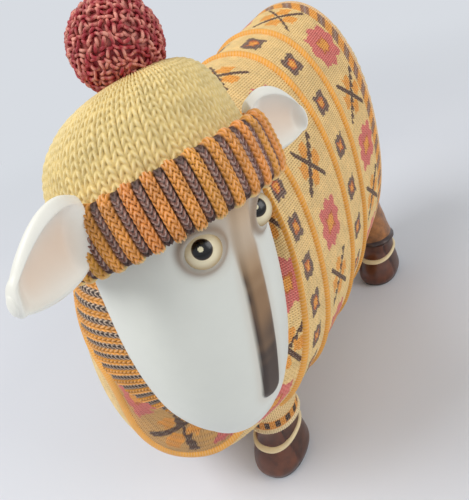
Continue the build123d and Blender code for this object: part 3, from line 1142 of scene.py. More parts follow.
def spread(points: Points, size: float) -> Points:
    """Pick points that lie about one size apart, in a fixed random order.

    Args:
        points: the points to pick from, in mm.
        size: the spacing in mm.

    Returns:
        The picked points.
    """
    order = np.random.default_rng(7).permutation(len(points))
    cell = {}
    picked = []
    for number in order:
        key = tuple(np.floor(points[number] / size).astype(int))
        near = [cell[other] for other in neighbours(key) if other in cell]
        if all(np.linalg.norm(points[number] - other) > size * 0.8 for other in near):
            cell[key] = points[number]
            picked.append(points[number])
    return np.array(picked)


def neighbours(key: tuple[int, int, int]) -> list[tuple[int, int, int]]:
    """Return a grid cell and the cells round it."""
    steps = (-1, 0, 1)
    return [(key[0] + x, key[1] + y, key[2] + z) for x in steps for y in steps for z in steps]


def closest(points: Points, seeds: Points) -> tuple[Points, Points, Points]:
    """Return each point's nearest seed, how far it is and the way from it.

    Args:
        points: the points.
        seeds: the seeds.

    Returns:
        The seed's number, the distance and the offset.
    """
    nearest = np.empty(len(points), dtype=int)
    batch = 2000
    for start in range(0, len(points), batch):
        some = points[start:start + batch]
        gap = ((some[:, None, :] - seeds[None, :, :]) ** 2).sum(axis=2)
        nearest[start:start + batch] = gap.argmin(axis=1)
    offset = points - seeds[nearest]
    return nearest, np.linalg.norm(offset, axis=1), offset


# Head and hat


@dataclass(frozen=True)
class Head:
    """The smooth painted face with its raised stripe, the eyes and the ears, in mm and degrees."""

    body: Body
    side: float = 31.4
    reach: float = 76.0
    height: float = 120.3
    turn: float = 82.7
    lean: float = 4.0
    tilt: float = 17.5
    width: float = 40.0
    length: float = 65.0
    depth: float = 41.0
    exponent: float = 2.3
    stripe_width: float = 6.0
    stripe_rise: float = 0.9
    stripe_length: float = 52.0
    eye_radius: float = 3.9
    eye_spacing: float = 17.6
    eye_drop: float = 6.2
    eye_proud: float = 2.5
    left_eye_in: float = 1.2
    look: tuple[float, float] = (-0.84, -0.62)
    look_up: float = 0.62
    rim_rise: float = 0.45
    dish_depth: float = 0.35
    white: str = "dcded6"
    tan: str = "c2a27c"
    umber: str = "2c1c12"
    # Colour of the painted shade line along one side of the raised stripe
    brown: str = "8c6a46"
    dark_brown: str = "3a281a"
    stain: str = "b79b7c"
    eye_wash: str = "86684a"
    eye_cream: str = "ece0bd"
    eye_shade: str = "b39a6c"
    pupil: str = "050404"
    pupil_edge: str = "3a2a1a"
    pupil_radius: float = 1.85
    glint: str = "f6f0cc"
    glint_radius: float = 0.52
    ear_white: str = "ecebe2"
    ear_peach: str = "e4bf9e"

    def frame(self, tilt: float = 0.0) -> Points:
        """Return the upright frame of the face, or one tipped back, in mm.

        Args:
            tilt: how far it is tipped back, in degrees.

        Returns:
            The frame as a four by four matrix.
        """
        shift = self.body.shift()
        place = Matrix.Translation((self.side + shift[0], shift[1] - self.reach, self.height))
        turn = Matrix.Rotation(math.radians(self.turn), 4, "Z")
        back = Matrix.Rotation(math.radians(-tilt), 4, "X")
        lean = Matrix.Rotation(math.radians(self.lean), 4, "Y")
        return np.array(place @ turn @ back @ lean)

    def hat_frame(self) -> Points:
        """Return the frame of the hat, tipped back, in mm."""
        return self.frame(self.tilt)

    def sections(self) -> Points:
        """Return the face's sections: drop, half width, front and back depth in mm.

        Returns:
            One row per section.
        """
        shares = np.array([
            (-0.14, 0.80, 0.50, 0.30),
            (0.0, 0.88, 0.52, 0.42),
            (0.16, 0.94, 0.495, 0.51),
            (0.33, 0.99, 0.48, 0.475),
            (0.49, 1.0, 0.455, 0.435),
            (0.655, 0.95, 0.415, 0.37),
            (0.79, 0.83, 0.365, 0.31),
            (0.90, 0.61, 0.295, 0.245),
            (0.965, 0.38, 0.19, 0.17),
            (1.0, 0.0, 0.0, 0.0),
        ])
        return shares * np.array([self.length, self.width / 2, self.depth, self.depth])

    def local(self, u: Points, v: Points) -> Points:
        """Return points of the plain face in its own frame, in mm.

        Args:
            u: share of the way round.
            v: share of the way along.

        Returns:
            One point per vertex.
        """
        rows = self.sections()
        drop = rows[0, 0] + (rows[-1, 0] - rows[0, 0]) * np.sin(v * np.pi / 2) ** 0.9
        values = spline(rows[:, 0], rows[:, 1:], drop)
        tip = rows[-2, 0]
        low = drop > tip
        share = np.sqrt(np.clip(1.0 - ((drop - tip) / (rows[-1, 0] - tip)) ** 2, 0.0, 1.0))
        values[low] = rows[-2, 1:] * share[low][:, None]
        across, up = superellipse(2 * np.pi * u + np.pi / 2, self.exponent)
        x = across * values[:, 0]
        y = np.where(up > 0, up * values[:, 2], up * values[:, 1])
        return np.stack([x, y, -drop], axis=1)

    def eye_centre(self, side: int) -> Points:
        """Return the middle of one eye in the face's frame, in mm.

        Args:
            side: -1 for the right, 1 for the left.

        Returns:
            The point.
        """
        rows = self.sections()
        across = self.eye_spacing / 2 / rows[2, 1]
        front = np.interp(self.eye_drop, rows[:, 0], rows[:, 2])
        surface = front * (1 - across**self.exponent) ** (1 / self.exponent)
        place = side * self.eye_spacing / 2 - (self.left_eye_in if side > 0 else 0.0)
        return np.array([place, self.eye_radius - self.eye_proud - surface, -self.eye_drop])

    def build(self) -> None:
        """Make the face, the eyes and the ears."""
        self.build_face()
        for side, name in ((-1, "right"), (1, "left")):
            self.build_eye(side, name)
            self.build_ear(side, name)

    def build_face(self) -> None:
        """Make the face with its stripe and the dished rims round the eyes."""
        frame = self.frame()

        def place(u: Points, v: Points) -> Points:
            """Return points of the face.

            Args:
                u: share of the way round.
                v: share of the way along.

            Returns:
                Points in metres.
            """
            return carry(self.local(u, v), frame)

        piece = patch("face", 300, 210, place)
        points = (read_points(piece.data) / MM - frame[:3, 3]) @ frame[:3, :3]
        x, y, drop = points[:, 0], points[:, 1], -points[:, 2]
        front = smooth_step(0.0, 2.0, -y)
        half = self.stripe_width / 2 * (0.82 + 0.18 * smooth_step(0.0, 30.0, drop))
        below = np.maximum(drop - (self.stripe_length - half), 0.0)
        edge = np.hypot(x, below) - half
        stripe = front * (1.0 - smooth_step(-1.2, 0.8, edge))
        heights = stripe * self.stripe_rise
        rim = np.zeros_like(x)
        for side in (-1, 1):
            away = np.linalg.norm(points - self.eye_centre(side), axis=1) - self.eye_radius
            ring, dish = bell(away - 0.55, 0.55), bell(away - 2.0, 0.9)
            heights += front * (self.rim_rise * ring - self.dish_depth * dish)
            rim = np.maximum(rim, front * bell(away - 0.9, 0.95))
        raise_relief(piece, heights)
        tint = self.face_colours(x, drop, edge, rim, front)
        finish_piece(piece, Finish.FACE, tint, 1.0, "face", "head")

    def face_colours(self, x: Points, drop: Points, edge: Points, rim: Points,
                     front: Points) -> Points:
        """Return the painted colours of the face.

        Args:
            x: mm to the left of the middle.
            drop: mm below the brow.
            edge: mm outside the stripe's edge.
            rim: 1 on the rims round the eyes.
            front: 1 on the front half.

        Returns:
            One colour per vertex.
        """
        colours = np.tile(paint(self.white), (len(x), 1))
        ripple = np.sin(drop * 0.9 + np.sin(drop * 0.33) * 2.0)
        down = smooth_step(2.0, 24.0, drop + 1.5 * ripple)
        brown = mix(paint(self.tan), paint(self.brown), down)
        deep = smooth_step(24.0, 40.0, drop + 2.0 * ripple + 0.8 * x)
        brown = mix(brown, paint(self.dark_brown), deep)
        # A dark umber line along one side of the raised stripe: painted shade beside the ridge
        line = bell(x + 2.7 + 0.15 * ripple, 0.75) * smooth_step(8.0, 20.0, drop)
        brown = mix(brown, paint(self.umber), line * (0.75 + 0.15 * ripple))
        faint = 0.55 + 0.45 * smooth_step(4.0, 16.0, drop)
        soft = 1.7 - 1.1 * smooth_step(6.0, 20.0, drop)
        mask = front * faint * (1.0 - smooth_step(0.0, 1.0, edge / soft))
        above = bell(drop + 1.0, 9.0) * bell(x, 8.5) * 0.9
        halo = bell(np.maximum(edge - 0.6, 0.0), 1.5) * 0.2
        colours = mix(colours, paint(self.stain), front * np.maximum(above, halo))
        colours = mix(colours, brown, mask)
        return mix(colours, paint(self.eye_wash), rim * 0.75)

    def build_eye(self, side: int, name: str) -> None:
        """Make one eye: a cream ball with a black pupil and a painted light.

        Args:
            side: -1 for the right, 1 for the left.
            name: right or left.
        """
        frame = self.frame()
        centre = self.eye_centre(side)
        radius = self.eye_radius
        aim = np.array([self.look[0 if side < 0 else 1], -1.0, self.look_up])
        aim /= np.linalg.norm(aim)
        left = np.cross(aim, (0.0, 0.0, 1.0))
        left /= np.linalg.norm(left)
        up = np.cross(left, aim)

        def place(u: Points, v: Points) -> Points:
            """Return points of the eyeball, from the pupil back.

            Args:
                u: share of the way round.
                v: share of the way along.

            Returns:
                Points in metres.
            """
            swing, turn = v * np.pi, 2 * np.pi * u
            out = (np.outer(np.cos(swing), aim) + np.outer(np.sin(swing) * np.cos(turn), left)
                   + np.outer(np.sin(swing) * np.sin(turn), up))
            return carry(centre + out * radius, frame)

        piece = patch(f"eye_ball_{name}", 96, 96, place)
        u, v = read_grid(piece)
        turn, reach = 2 * np.pi * u, v * np.pi * radius
        glint = np.hypot(reach * np.cos(turn) - 0.25, reach * np.sin(turn) - 0.1)
        # The ball darkens away from the pupil: painted shade where it sinks into its socket
        tint = mix(paint(self.eye_cream), paint(self.eye_shade), smooth_step(2.4, 5.0, reach))
        tint[reach < self.pupil_radius + 0.2] = paint(self.pupil_edge)
        tint[reach < self.pupil_radius] = paint(self.pupil)
        tint[glint < self.glint_radius] = paint(self.glint)
        finish_piece(piece, Finish.EYE, tint, 1.0, "eye", f"eye_{name}")

    def build_ear(self, side: int, name: str) -> None:
        """Make one ear: a drooping leaf with a thick rim and a hollow front.

        Args:
            side: -1 for the right, 1 for the left.
            name: right or left.
        """
        ear = Ear(side)
        frame = self.hat_frame() @ np.array(ear.place())

        def place(u: Points, v: Points) -> Points:
            """Return points of the ear.

            Args:
                u: share of the way round.
                v: share of the way along.

            Returns:
                Points in metres.
            """
            return carry(ear.local(u, v), frame)

        piece = patch(f"ear_leaf_{name}", 120, 110, place)
        inside = ear.hollow(*read_grid(piece))
        tint = mix(paint(self.ear_white), paint(self.ear_peach), 0.55 * inside)
        finish_piece(piece, Finish.FACE, tint, 1.0, "ear", f"ear_{name}")


@dataclass(frozen=True)
class Ear:
    """One ear, in mm, with X out along it, Y across its thickness and Z up its width."""

    side: int
    root: float = 23.4
    ahead: float = 8.5
    height: float = 2.9
    sweep: float = 10.5
    twist: float = 27.0
    length: float = 18.4
    width: float = 16.8
    thickness: float = 5.6
    droop: float = 5.3
    hollow_half: float = 0.80
    hollow_depth: float = 1.35

    @property
    def front(self) -> float:
        """Return the sign of Y on the side of the ear that faces ahead."""
        return 1.0 if self.side < 0 else -1.0

    def place(self) -> Matrix:
        """Return the ear's frame in the hat's.

        Returns:
            The frame as a matrix.
        """
        root = Matrix.Translation((self.side * self.root, -self.ahead, self.height))
        facing = Matrix.Rotation(math.pi if self.side < 0 else 0.0, 4, "Z")
        turn = math.radians(self.sweep if self.side < 0 else -self.sweep)
        twist = Matrix.Rotation(math.radians(self.twist * self.side), 4, "X")
        return root @ facing @ Matrix.Rotation(turn, 4, "Z") @ twist

    def local(self, u: Points, v: Points) -> Points:
        """Return points of the ear.

        Args:
            u: share of the way round.
            v: share of the way along.

        Returns:
            One point per vertex, in mm.
        """
        knots = np.array([0.0, 0.22, 0.45, 0.68, 0.87, 0.97, 1.0])
        rows = np.array([(0.76, 0.80), (0.98, 0.95), (0.98, 1.0), (0.78, 0.90), (0.47, 0.70),
                         (0.23, 0.45), (0.0, 0.0)])
        along = np.sin(v * np.pi / 2)
        values = spline(knots, rows, along)
        last = along > knots[-2]
        share = np.sqrt(np.clip(1.0 - ((along - knots[-2]) / (1.0 - knots[-2])) ** 2, 0.0, 1.0))
        values[last] = rows[-2] * share[last][:, None]
        values = values * smooth_step(-0.01, 0.02, v)[:, None]
        angle = 2 * np.pi * u
        half_width = self.width / 2 * values[:, 0]
        half_thick = self.thickness / 2 * values[:, 1]
        across, thick = np.sin(angle), np.cos(angle)
        y = thick * half_thick
        dip = np.clip(1.0 - (across / self.hollow_half) ** 2, 0.0, 1.0) ** 0.8
        ends = smooth_step(0.02, 0.25, along) * (1.0 - smooth_step(0.80, 0.97, along))
        sunk = y - self.front * dip * ends * half_thick * self.hollow_depth
        y = np.where(thick * self.front > 0, sunk, y)
        x = self.length * along
        z = across * half_width - self.droop * along**2
        return np.stack([x, y, z], axis=1)

    def hollow(self, u: Points, v: Points) -> Points:
        """Return 1 deep in the hollow of the ear and 0 on its rim and back.

        Args:
            u: share of the way round.
            v: share of the way along.

        Returns:
            One value per vertex.
        """
        across, thick = np.sin(2 * np.pi * u), np.cos(2 * np.pi * u)
        along = np.sin(v * np.pi / 2)
        ends = smooth_step(0.05, 0.3, along) * (1.0 - smooth_step(0.7, 0.95, along))
        dip = np.clip(1.0 - (across / self.hollow_half) ** 2, 0.0, 1.0)
        return np.where(thick * self.front > 0, dip, 0.0) * ends


@dataclass(frozen=True)
class Hat:
    """The bobble hat, in mm: ribbed cuff, V-stitched crown and yarn pompom."""

    head: Head
    cuff_radius: float = 27.2
    cuff_height: float = 12.6
    cuff_wall: float = 4.0
    cuff_exponent: float = 3.2
    cuff_turn: float = 0.58
    outside: float = 0.74
    steps_per_rib: int = 22
    cuff_steps: int = 112
    rib_count: int = 38
    rib_start: float = 0.41
    wide_share: float = 0.59
    stitch: float = 1.2
    crown_rise: float = 16.5
    crown_lean: float = 9.5
    wale_count: int = 59
    course: float = 1.8
    crown_length: float = 36.0
    steps_per_wale: int = 10
    steps_per_course: int = 8
    pompom_radius: float = 10.1
    loop_count: int = 760
    loop_span: tuple[float, float] = (0.5, 0.8)
    loop_thick: tuple[float, float] = (0.28, 0.38)
    loop_lean: float = 0.6
    golden_at: float = 192.0
    golden_width: float = 16.0
    orange: str = "e0841c"
    gold: str = "dca020"
    brown: str = "845444"
    mauve: str = "cdb0a4"
    dark: str = "3c2018"
    cream: str = "e4ca84"
    crimson: str = "a82834"
    rose: str = "eba28e"
    blush: str = "f0b48c"
    rim: str = "ecd08c"
    foot: str = "d09a44"

    def build(self) -> None:
        """Make the cuff, the crown and the pompom."""
        self.build_cuff()
        self.build_crown()
        self.build_pompom()

    def to_frame(self, local: Points) -> Points:
        """Carry points from the hat's frame to the row frame, in metres."""
        return carry(local, self.head.hat_frame())

    def build_cuff(self) -> None:
        """Make the folded cuff: wide orange ribs between narrow brown ones."""
        radius, half = self.cuff_radius - 0.5, self.cuff_height / 2
        wall, turned = self.cuff_wall, self.cuff_turn
        fine = np.linspace(-turned, 2.0 - turned, 4001) * np.pi
        fine_across, fine_up = superellipse(fine, self.cuff_exponent)
        steps = np.hypot(np.diff(fine_across) * wall / 2, np.diff(fine_up) * half)
        length = np.concatenate([[0.0], np.cumsum(steps)])
        fold = float(np.interp(turned * np.pi, fine, length))

        def profile(v: Points) -> tuple[Points, Points]:
            """Return the wall's section, evenly spaced and closer on the outside.

            Args:
                v: share of the way round the section.

            Returns:
                How far across and how far up, from -1 to 1.
            """
            rest = (v - self.outside) / (1 - self.outside)
            reach = np.where(v < self.outside, v / self.outside * fold,
                             fold + rest * (length[-1] - fold))
            return superellipse(np.interp(reach, length, fine), self.cuff_exponent)

        def place(u: Points, v: Points) -> Points:
            """Return points of the cuff.

            Args:
                u: share of the way round.
                v: share of the way along.

            Returns:
                Points in metres.
            """
            across, up = profile(v)
            out = radius - wall / 2 + across * wall / 2
            turn = 2 * np.pi * u
            local = np.stack([out * np.cos(turn), out * np.sin(turn), up * half], axis=1)
            return self.to_frame(local)

        piece = patch("cuff_rib", self.rib_count * self.steps_per_rib, self.cuff_steps, place)
        u, v = read_grid(piece)
        across, up = profile(v)
        outer = smooth_step(-0.6, 0.3, across)
        wide = self.wide_share
        repeat = (u * self.rib_count - self.rib_start) % 1.0
        narrow = repeat > wide
        chains = np.where(narrow, (repeat - wide) / (1 - wide), repeat / wide * 2)
        rows = up * half / self.stitch
        relief = stitch_relief(chains, rows, groove=0.7)
        bulge = np.sin(np.pi * np.clip(repeat / wide, 0, 1)) ** 0.5
        dent = np.sin(np.pi * np.clip((repeat - wide) / (1 - wide), 0, 1)) ** 0.5
        ridge = np.where(narrow, 0.35 * dent, bulge)
        raise_relief(piece, ((relief - 0.5) * 0.75 + (ridge - LEVEL) * 0.9) * outer)
        tint = self.cuff_colours(u, up, repeat, chains, rows, narrow)
        height = np.clip(relief * (0.55 + 0.45 * ridge), 0, 1)
        finish_piece(piece, Finish.RIB, tint, height, "rib", "hat_cuff")

    def cuff_colours(self, u: Points, up: Points, repeat: Points, chains: Points, rows: Points,
                     narrow: Points) -> Points:
        """Return the paint of the cuff: orange and golden ribs, brown ones with dark ends.

        Args:
            u: share of the way round.
            up: height, from -1 to 1.
            repeat: place within a pair of ribs.
            chains: place across the chains.
            rows: place along them.
            narrow: true on the brown ribs.

        Returns:
            One colour per vertex.
        """
        number = np.floor(u * self.rib_count - self.rib_start).astype(int)
        golden = bell(u * 360.0 - self.golden_at, self.golden_width)
        table = noise_table(64, 21)
        warm = np.maximum(0.4 + 0.4 * table[number % len(table)], golden)
        climb = stitch_climb(chains, rows)
        orange = mix(paint(self.orange), paint(self.gold), warm)
        orange = mix(orange, paint(self.blush), bell(climb - 0.55, 0.2) * 0.45)
        brown = np.where((climb < 0.42)[:, None], paint(self.mauve), paint(self.brown))
        side = np.minimum(repeat - self.wide_share, 1.0 - repeat) < 0.035
        brown = np.where(side[:, None], paint(self.dark), brown)
        brown = mix(brown, paint(self.dark), np.clip((np.abs(up) - 0.72) * 4.5, 0, 0.8))
        tint = np.where(narrow[:, None], brown, orange)
        tint = mix(tint, paint(self.rim), np.clip((-up - 0.93) * 14, 0, 1) * ~narrow)
        return shade_stitches(tint, u * self.rib_count * 3, rows, seed=9, depth=0.10)

    def crown_local(self, u: Points, v: Points) -> Points:
        """Return points of the plain crown in the hat's frame, in mm.

        Args:
            u: share of the way round.
            v: share of the way along.

        Returns:
            One point per vertex.
        """
        shares = np.array([
            (-0.20, 0.85, 0.0), (0.0, 0.83, 0.0), (0.28, 0.79, 0.08), (0.54, 0.73, 0.25),
            (0.66, 0.68, 0.36), (0.76, 0.62, 0.50), (0.85, 0.545, 0.63), (0.92, 0.45, 0.78),
            (0.97, 0.33, 0.90), (1.0, 0.22, 1.0), (1.01, 0.05, 1.05),
        ])
        rises, widths = np.diff(shares[:, 0]), np.diff(shares[:, 1])
        steps = np.hypot(rises * self.crown_rise, widths * self.cuff_radius)
        knots = np.concatenate([[0.0], np.cumsum(steps)])
        rows = spline(knots, shares, v * knots[-1])
        turn = 2 * np.pi * u
        radius = self.cuff_radius * rows[:, 1]
        return np.stack([
            radius * np.cos(turn),
            radius * np.sin(turn) - self.crown_lean * rows[:, 2],
            self.cuff_height / 2 + self.crown_rise * rows[:, 0],
        ], axis=1)

    def build_crown(self) -> None:
        """Make the crown, whose V columns run up to the pompom."""
        courses = round(self.crown_length / self.course)

        def place(u: Points, v: Points) -> Points:
            """Return points of the crown.

            Args:
                u: share of the way round.
                v: share of the way along.

            Returns:
                Points in metres.
            """
            return self.to_frame(self.crown_local(u, v))

        across, along = self.wale_count * self.steps_per_wale, courses * self.steps_per_course
        piece = patch("crown_knit", across, along, place)
        u, v = read_grid(piece)
        wales, rows = u * self.wale_count, v * courses
        wobble = 0.12 * np.sin(wales * 1.9 + rows * 0.6) + 0.1 * np.sin(rows * 1.3 - wales)
        leg = np.abs((wales + wobble * 0.4) % 1.0 - 0.5) * 2.0
        grain = np.clip(np.sin(np.pi * ((rows + wobble - leg) % 1.0)), 0.0, 1.0) ** 0.5
        column = np.clip(np.sin(np.pi * (0.12 + 0.88 * (1.0 - leg)) * 0.92), 0.0, 1.0) ** 0.6
        relief = column * (0.5 + 0.5 * grain)
        fade = 1.0 - 0.7 * smooth_step(0.7, 1.0, v)
        raise_relief(piece, (relief - LEVEL) * fade)
        tint = mix(paint(self.cream), paint(self.foot), smooth_step(0.66, 0.95, v))
        tint = shade_stitches(tint, wales, rows, seed=15, depth=0.08)
        finish_piece(piece, Finish.CROWN, tint, relief, "crown", "hat_crown")

    def pompom_centre(self) -> Points:
        """Return the middle of the pompom in the hat's frame, in mm."""
        rise = self.cuff_height / 2 + self.crown_rise + self.pompom_radius * 0.62
        return np.array([0.0, -self.crown_lean * 1.15, rise])

    def build_pompom(self) -> None:
        """Make the pompom: a ball covered with short curled loops of yarn."""
        count, radius = self.loop_count, self.pompom_radius
        core = bmesh.new()
        bmesh.ops.create_icosphere(core, subdivisions=4, radius=radius * 0.84)
        bmesh.ops.translate(core, verts=core.verts, vec=self.pompom_centre().tolist())
        rng = np.random.default_rng(17)
        golden = math.pi * (3 - math.sqrt(5))
        for index in range(count):
            up = 1 - 2 * (index + 0.5) / count
            ring, turn = math.sqrt(1 - up * up), golden * index
            out = Vector((ring * math.cos(turn), ring * math.sin(turn), up))
            loop = self.loop(out, rng)
            core.from_mesh(loop)
            bpy.data.meshes.remove(loop)
        mesh = bpy.data.meshes.new("pompom_yarn")
        core.to_mesh(mesh)
        core.free()
        local = read_points(mesh)
        away = np.linalg.norm(local - self.pompom_centre(), axis=1)
        write_points(mesh, self.to_frame(local))
        piece = add_piece("pompom_yarn", mesh)
        relief = np.clip((away / radius - 0.82) / 0.2, 0.0, 1.0)
        slow, quick = np.array([1.3, 0.9, 1.7]), np.array([-2.9, 2.3, 1.9])
        waves = np.sin(local @ slow) + np.sin(local @ quick)
        tint = mix(paint(self.crimson), paint(self.rose), smooth_step(-0.9, 1.6, waves))
        finish_piece(piece, Finish.POMPOM, tint, relief, "pompom", "pompom")

    def loop(self, out: Vector, rng: np.random.Generator) -> bpy.types.Mesh:
        """Make one half ring of yarn that stands on the ball.

        Args:
            out: the way out of the ball at the loop.
            rng: the random source.

        Returns:
            The loop in the hat's frame, in mm.
        """
        work = bmesh.new()
        span, thick = rng.uniform(*self.loop_span), rng.uniform(*self.loop_thick)
        bmesh.ops.create_circle(work, cap_ends=False, segments=6, radius=thick)
        bmesh.ops.translate(work, verts=work.verts, vec=(span, 0, 0))
        bmesh.ops.spin(
            work, geom=work.verts[:] + work.edges[:], cent=(0, 0, 0), axis=(0, -1, 0),
            angle=math.pi * 1.15, steps=7, use_merge=False,
        )
        turn = Matrix.Rotation(rng.uniform(0, 2 * math.pi), 3, "Z")
        lean = Matrix.Rotation(rng.uniform(-self.loop_lean, self.loop_lean), 3, "X")
        aim = out.to_track_quat("Z", "Y").to_matrix()
        place = Vector(self.pompom_centre().tolist()) + out * (self.pompom_radius * 0.83)
        bmesh.ops.transform(work, matrix=(aim @ turn @ lean).to_4x4(), verts=work.verts)
        bmesh.ops.translate(work, verts=work.verts, vec=place)
        bmesh.ops.recalc_face_normals(work, faces=work.faces)
        mesh = bpy.data.meshes.new("yarn_loop")
        work.to_mesh(mesh)
        work.free()
        return mesh


# Legs and boots


@dataclass(frozen=True)
class LegEnd:
    """What stands in a boot and how fine it is made, in mm."""

    word: str
    slot: str
    width: float
    length: float
    reach: float
    lean: float
    inward: float
    across: int
    along: int
    relief: float


class LegKind(Enum):
    """The two kinds of leg end."""

    SLEEVE = LegEnd("sleeve", "sweater", width=16.6, length=18.6, reach=14.0, lean=3.3, inward=0.0,
                    across=240, along=60, relief=0.4)
    STOCKING = LegEnd("leg", "stocking", width=16.0, length=18.0, reach=34.0, lean=-8.25,
                      inward=3.96, across=160, along=80, relief=0.3)


@dataclass(frozen=True)
class Leg:
    """One leg end with its boot, in mm."""

    body: Body
    name: str
    kind: LegKind
    full_reach: float = 34.0
    exponent: float = 2.3
    back: float = 0.10
    sole_share: float = 0.10
    lid_share: float = 0.08
    toe_share: float = 0.14
    length: float = 24.0
    width: float = 17.5
    height: float = 19.0
    piping: float = 0.8
    boot: str = "46200e"
    cream: str = "ecd6a8"
    orange: str = "e09434"
    # Tan-brown of the rear legs: brown-washed beige wool, with the shade under the body painted in
    stocking: str = "9a622c"
    # Near-black band above the boot: painted shade, the brown boot top in the shadow under the body
    stocking_shade_band: str = "38221a"
    toe: str = "5a2c16"
    sole: str = "2c160c"
    knit: str = "f0cf94"
    hem_mark: str = "3c2016"

    def foot(self) -> Points:
        """Return the floor point under the middle of the boot, in mm."""
        low, high = (np.array(corner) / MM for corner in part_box(f"boot_{self.name}"))
        return np.array([(low[0] + high[0]) / 2, (low[1] + high[1]) / 2, 0.0])

    def rows(self) -> tuple[Points, Points]:
        """Return the boot's levels and their half width, half length and shift in mm.

        Returns:
            The levels, and one row of three numbers per level.
        """
        levels = np.array([0.0, 0.13, 0.36, 0.58, 0.76, 1.0]) * self.height
        shares = np.array([(0.90, 0.91, 0.0), (1.0, 1.0, 0.0), (0.98, 0.96, 0.01),
                           (0.90, 0.82, 0.05), (0.84, 0.70, 0.09), (0.84, 0.68, 0.10)])
        return levels, shares * np.array([self.width / 2, self.length / 2, self.length])

    def boot_point(self, u: Points, height: Points, grow: Points | float = 0.0) -> Points:
        """Return points of the boot's skin in metres.

        Args:
            u: share of the way round, from the heel.
            height: mm above the floor.
            grow: mm outwards.

        Returns:
            One point per vertex.
        """
        levels, rows = self.rows()
        values = spline(levels, rows, height)
        across, up = superellipse(2 * np.pi * u + np.pi / 2, self.exponent)
        x = across * (values[:, 0] + grow)
        y = up * (values[:, 1] + grow) + values[:, 2]
        return (np.stack([x, y, height], axis=1) + self.foot()) * MM

    def top(self) -> Points:
        """Return the middle of the boot's opening, in mm."""
        return self.foot() + np.array([0.0, self.length * self.back, self.height])

    def build(self) -> None:
        """Make the boot, its piping, and the sleeve or stocking over it."""
        self.build_boot()
        self.build_piping()
        self.build_leg()

    def build_boot(self) -> None:
        """Make the closed boot with a rounded sole edge."""
        def place(u: Points, v: Points) -> Points:
            """Return points of the boot.

            Args:
                u: share of the way round.
                v: share of the way along.

            Returns:
                Points in metres.
            """
            low, high = self.sole_share, 1.0 - self.lid_share
            height = np.clip((v - low) / (high - low), 0.0, 1.0) * self.height
            points = self.boot_point(u, height)
            centre, top = self.foot() * MM, self.top() * MM
            sole = np.clip(v / low, 0.0, 1.0)[:, None]
            lid = np.clip((1.0 - v) / self.lid_share, 0.0, 1.0)[:, None]
            points = np.where(v[:, None] < low, centre + (points - centre) * sole, points)
            return np.where(v[:, None] > high, top + (points - top) * lid, points)

        piece = patch(f"boot_shell_{self.name}", 96, 90, place)
        points = read_points(piece.data) / MM - self.foot()
        v = read_grid(piece)[1]
        height = points[:, 2]
        past = points[:, 1] + self.length * self.toe_share
        seam = bell(past, 0.5)
        relief = np.clip(0.9 - 0.7 * seam - 0.3 * bell(height, 1.2), 0.0, 1.0)
        tint = np.where((past < 0.0)[:, None], paint(self.toe), paint(self.boot))
        tint = np.where((height < 1.1)[:, None], paint(self.sole), tint)
        raise_relief(piece, np.where((v > 0.11) & (v < 0.9), -0.25 * seam, 0.0))
        finish_piece(piece, Finish.BOOT, tint, relief, "boot", f"boot_{self.name}")

    def build_piping(self) -> None:
        """Make the cream piping round the boot's top line, lower over the toe."""
        radius = self.piping

        def ankle(u: Points, v: Points) -> Points:
            """Return points round the piping.

            Args:
                u: share of the way round.
                v: share of the way along.

            Returns:
                Points in metres.
            """
            angle = 2 * np.pi * v
            middle = self.height * (0.70 + 0.08 * np.cos(2 * np.pi * u))
            return self.boot_point(u, middle + radius * np.sin(angle), radius * np.cos(angle))

        piece = patch(f"boot_ankle_piping_{self.name}", 110, 12, ankle)
        finish_piece(piece, Finish.PIPING, paint(self.cream), 0.9, "boot", f"boot_{self.name}")

    def build_leg(self) -> None:
        """Make the sleeve end or the stocking from the boot up into the body."""
        end = self.kind.value
        top = self.top()
        inward = end.inward * (-1 if "left" in self.name else 1)

        def place(u: Points, v: Points) -> Points:
            """Return points of the leg.

            Args:
                u: share of the way round.
                v: share of the way along.

            Returns:
                Points in metres.
            """
            share = v * end.reach / self.full_reach
            wider = np.interp(share, (0.0, 0.35, 0.70, 0.92, 1.0), (1.0, 1.04, 1.10, 0.95, 0.62))
            closed = np.clip(v / 0.03, 0.0, 1.0) * np.clip((1 - v) / 0.03, 0.0, 1.0)
            turn = 2 * np.pi * u
            bead = 1.0 + 0.10 * bell(v * end.reach - 1.0, 0.9)
            return (np.stack([
                top[0] + inward * share + np.cos(turn) * end.width / 2 * wider * closed * bead,
                top[1] + end.lean * share + np.sin(turn) * end.length / 2 * wider * closed * bead,
                top[2] + v * end.reach,
            ], axis=1)) * MM

        piece = patch(f"{end.word}_skin_{self.name}", end.across, end.along, place)
        u, v = read_grid(piece)
        rise = v * end.reach
        if self.kind is LegKind.SLEEVE:
            relief = stitch_relief(u * 40, rise / 1.3)
            tint = np.tile(paint(self.knit), (len(u), 1))
            tint[rise < 5.2] = paint(self.orange)
            tint[(rise > 2.2) & (rise < 4.7) & ((u * 14) % 1.0 < 0.48)] = paint(self.hem_mark)
            tint[rise < 1.9] = paint(self.cream)
            finish = Finish.KNIT
        else:
            relief = 0.75 + 0.25 * np.sin(u * 2 * np.pi * 9 + rise * 0.7)
            # The stocking's tan-brown has the shade under the body painted in
            tint = np.tile(paint(self.stocking), (len(u), 1))
            # Painted shade: near-black band where the boot top lies in the shadow under the body
            tint[rise < 3.4] = paint(self.stocking_shade_band)
            finish = Finish.BOOT
        raise_relief(piece, (relief - LEVEL) * end.relief)
        finish_piece(piece, finish, tint, relief, end.slot, f"{end.word}_{self.name}")


# Stage


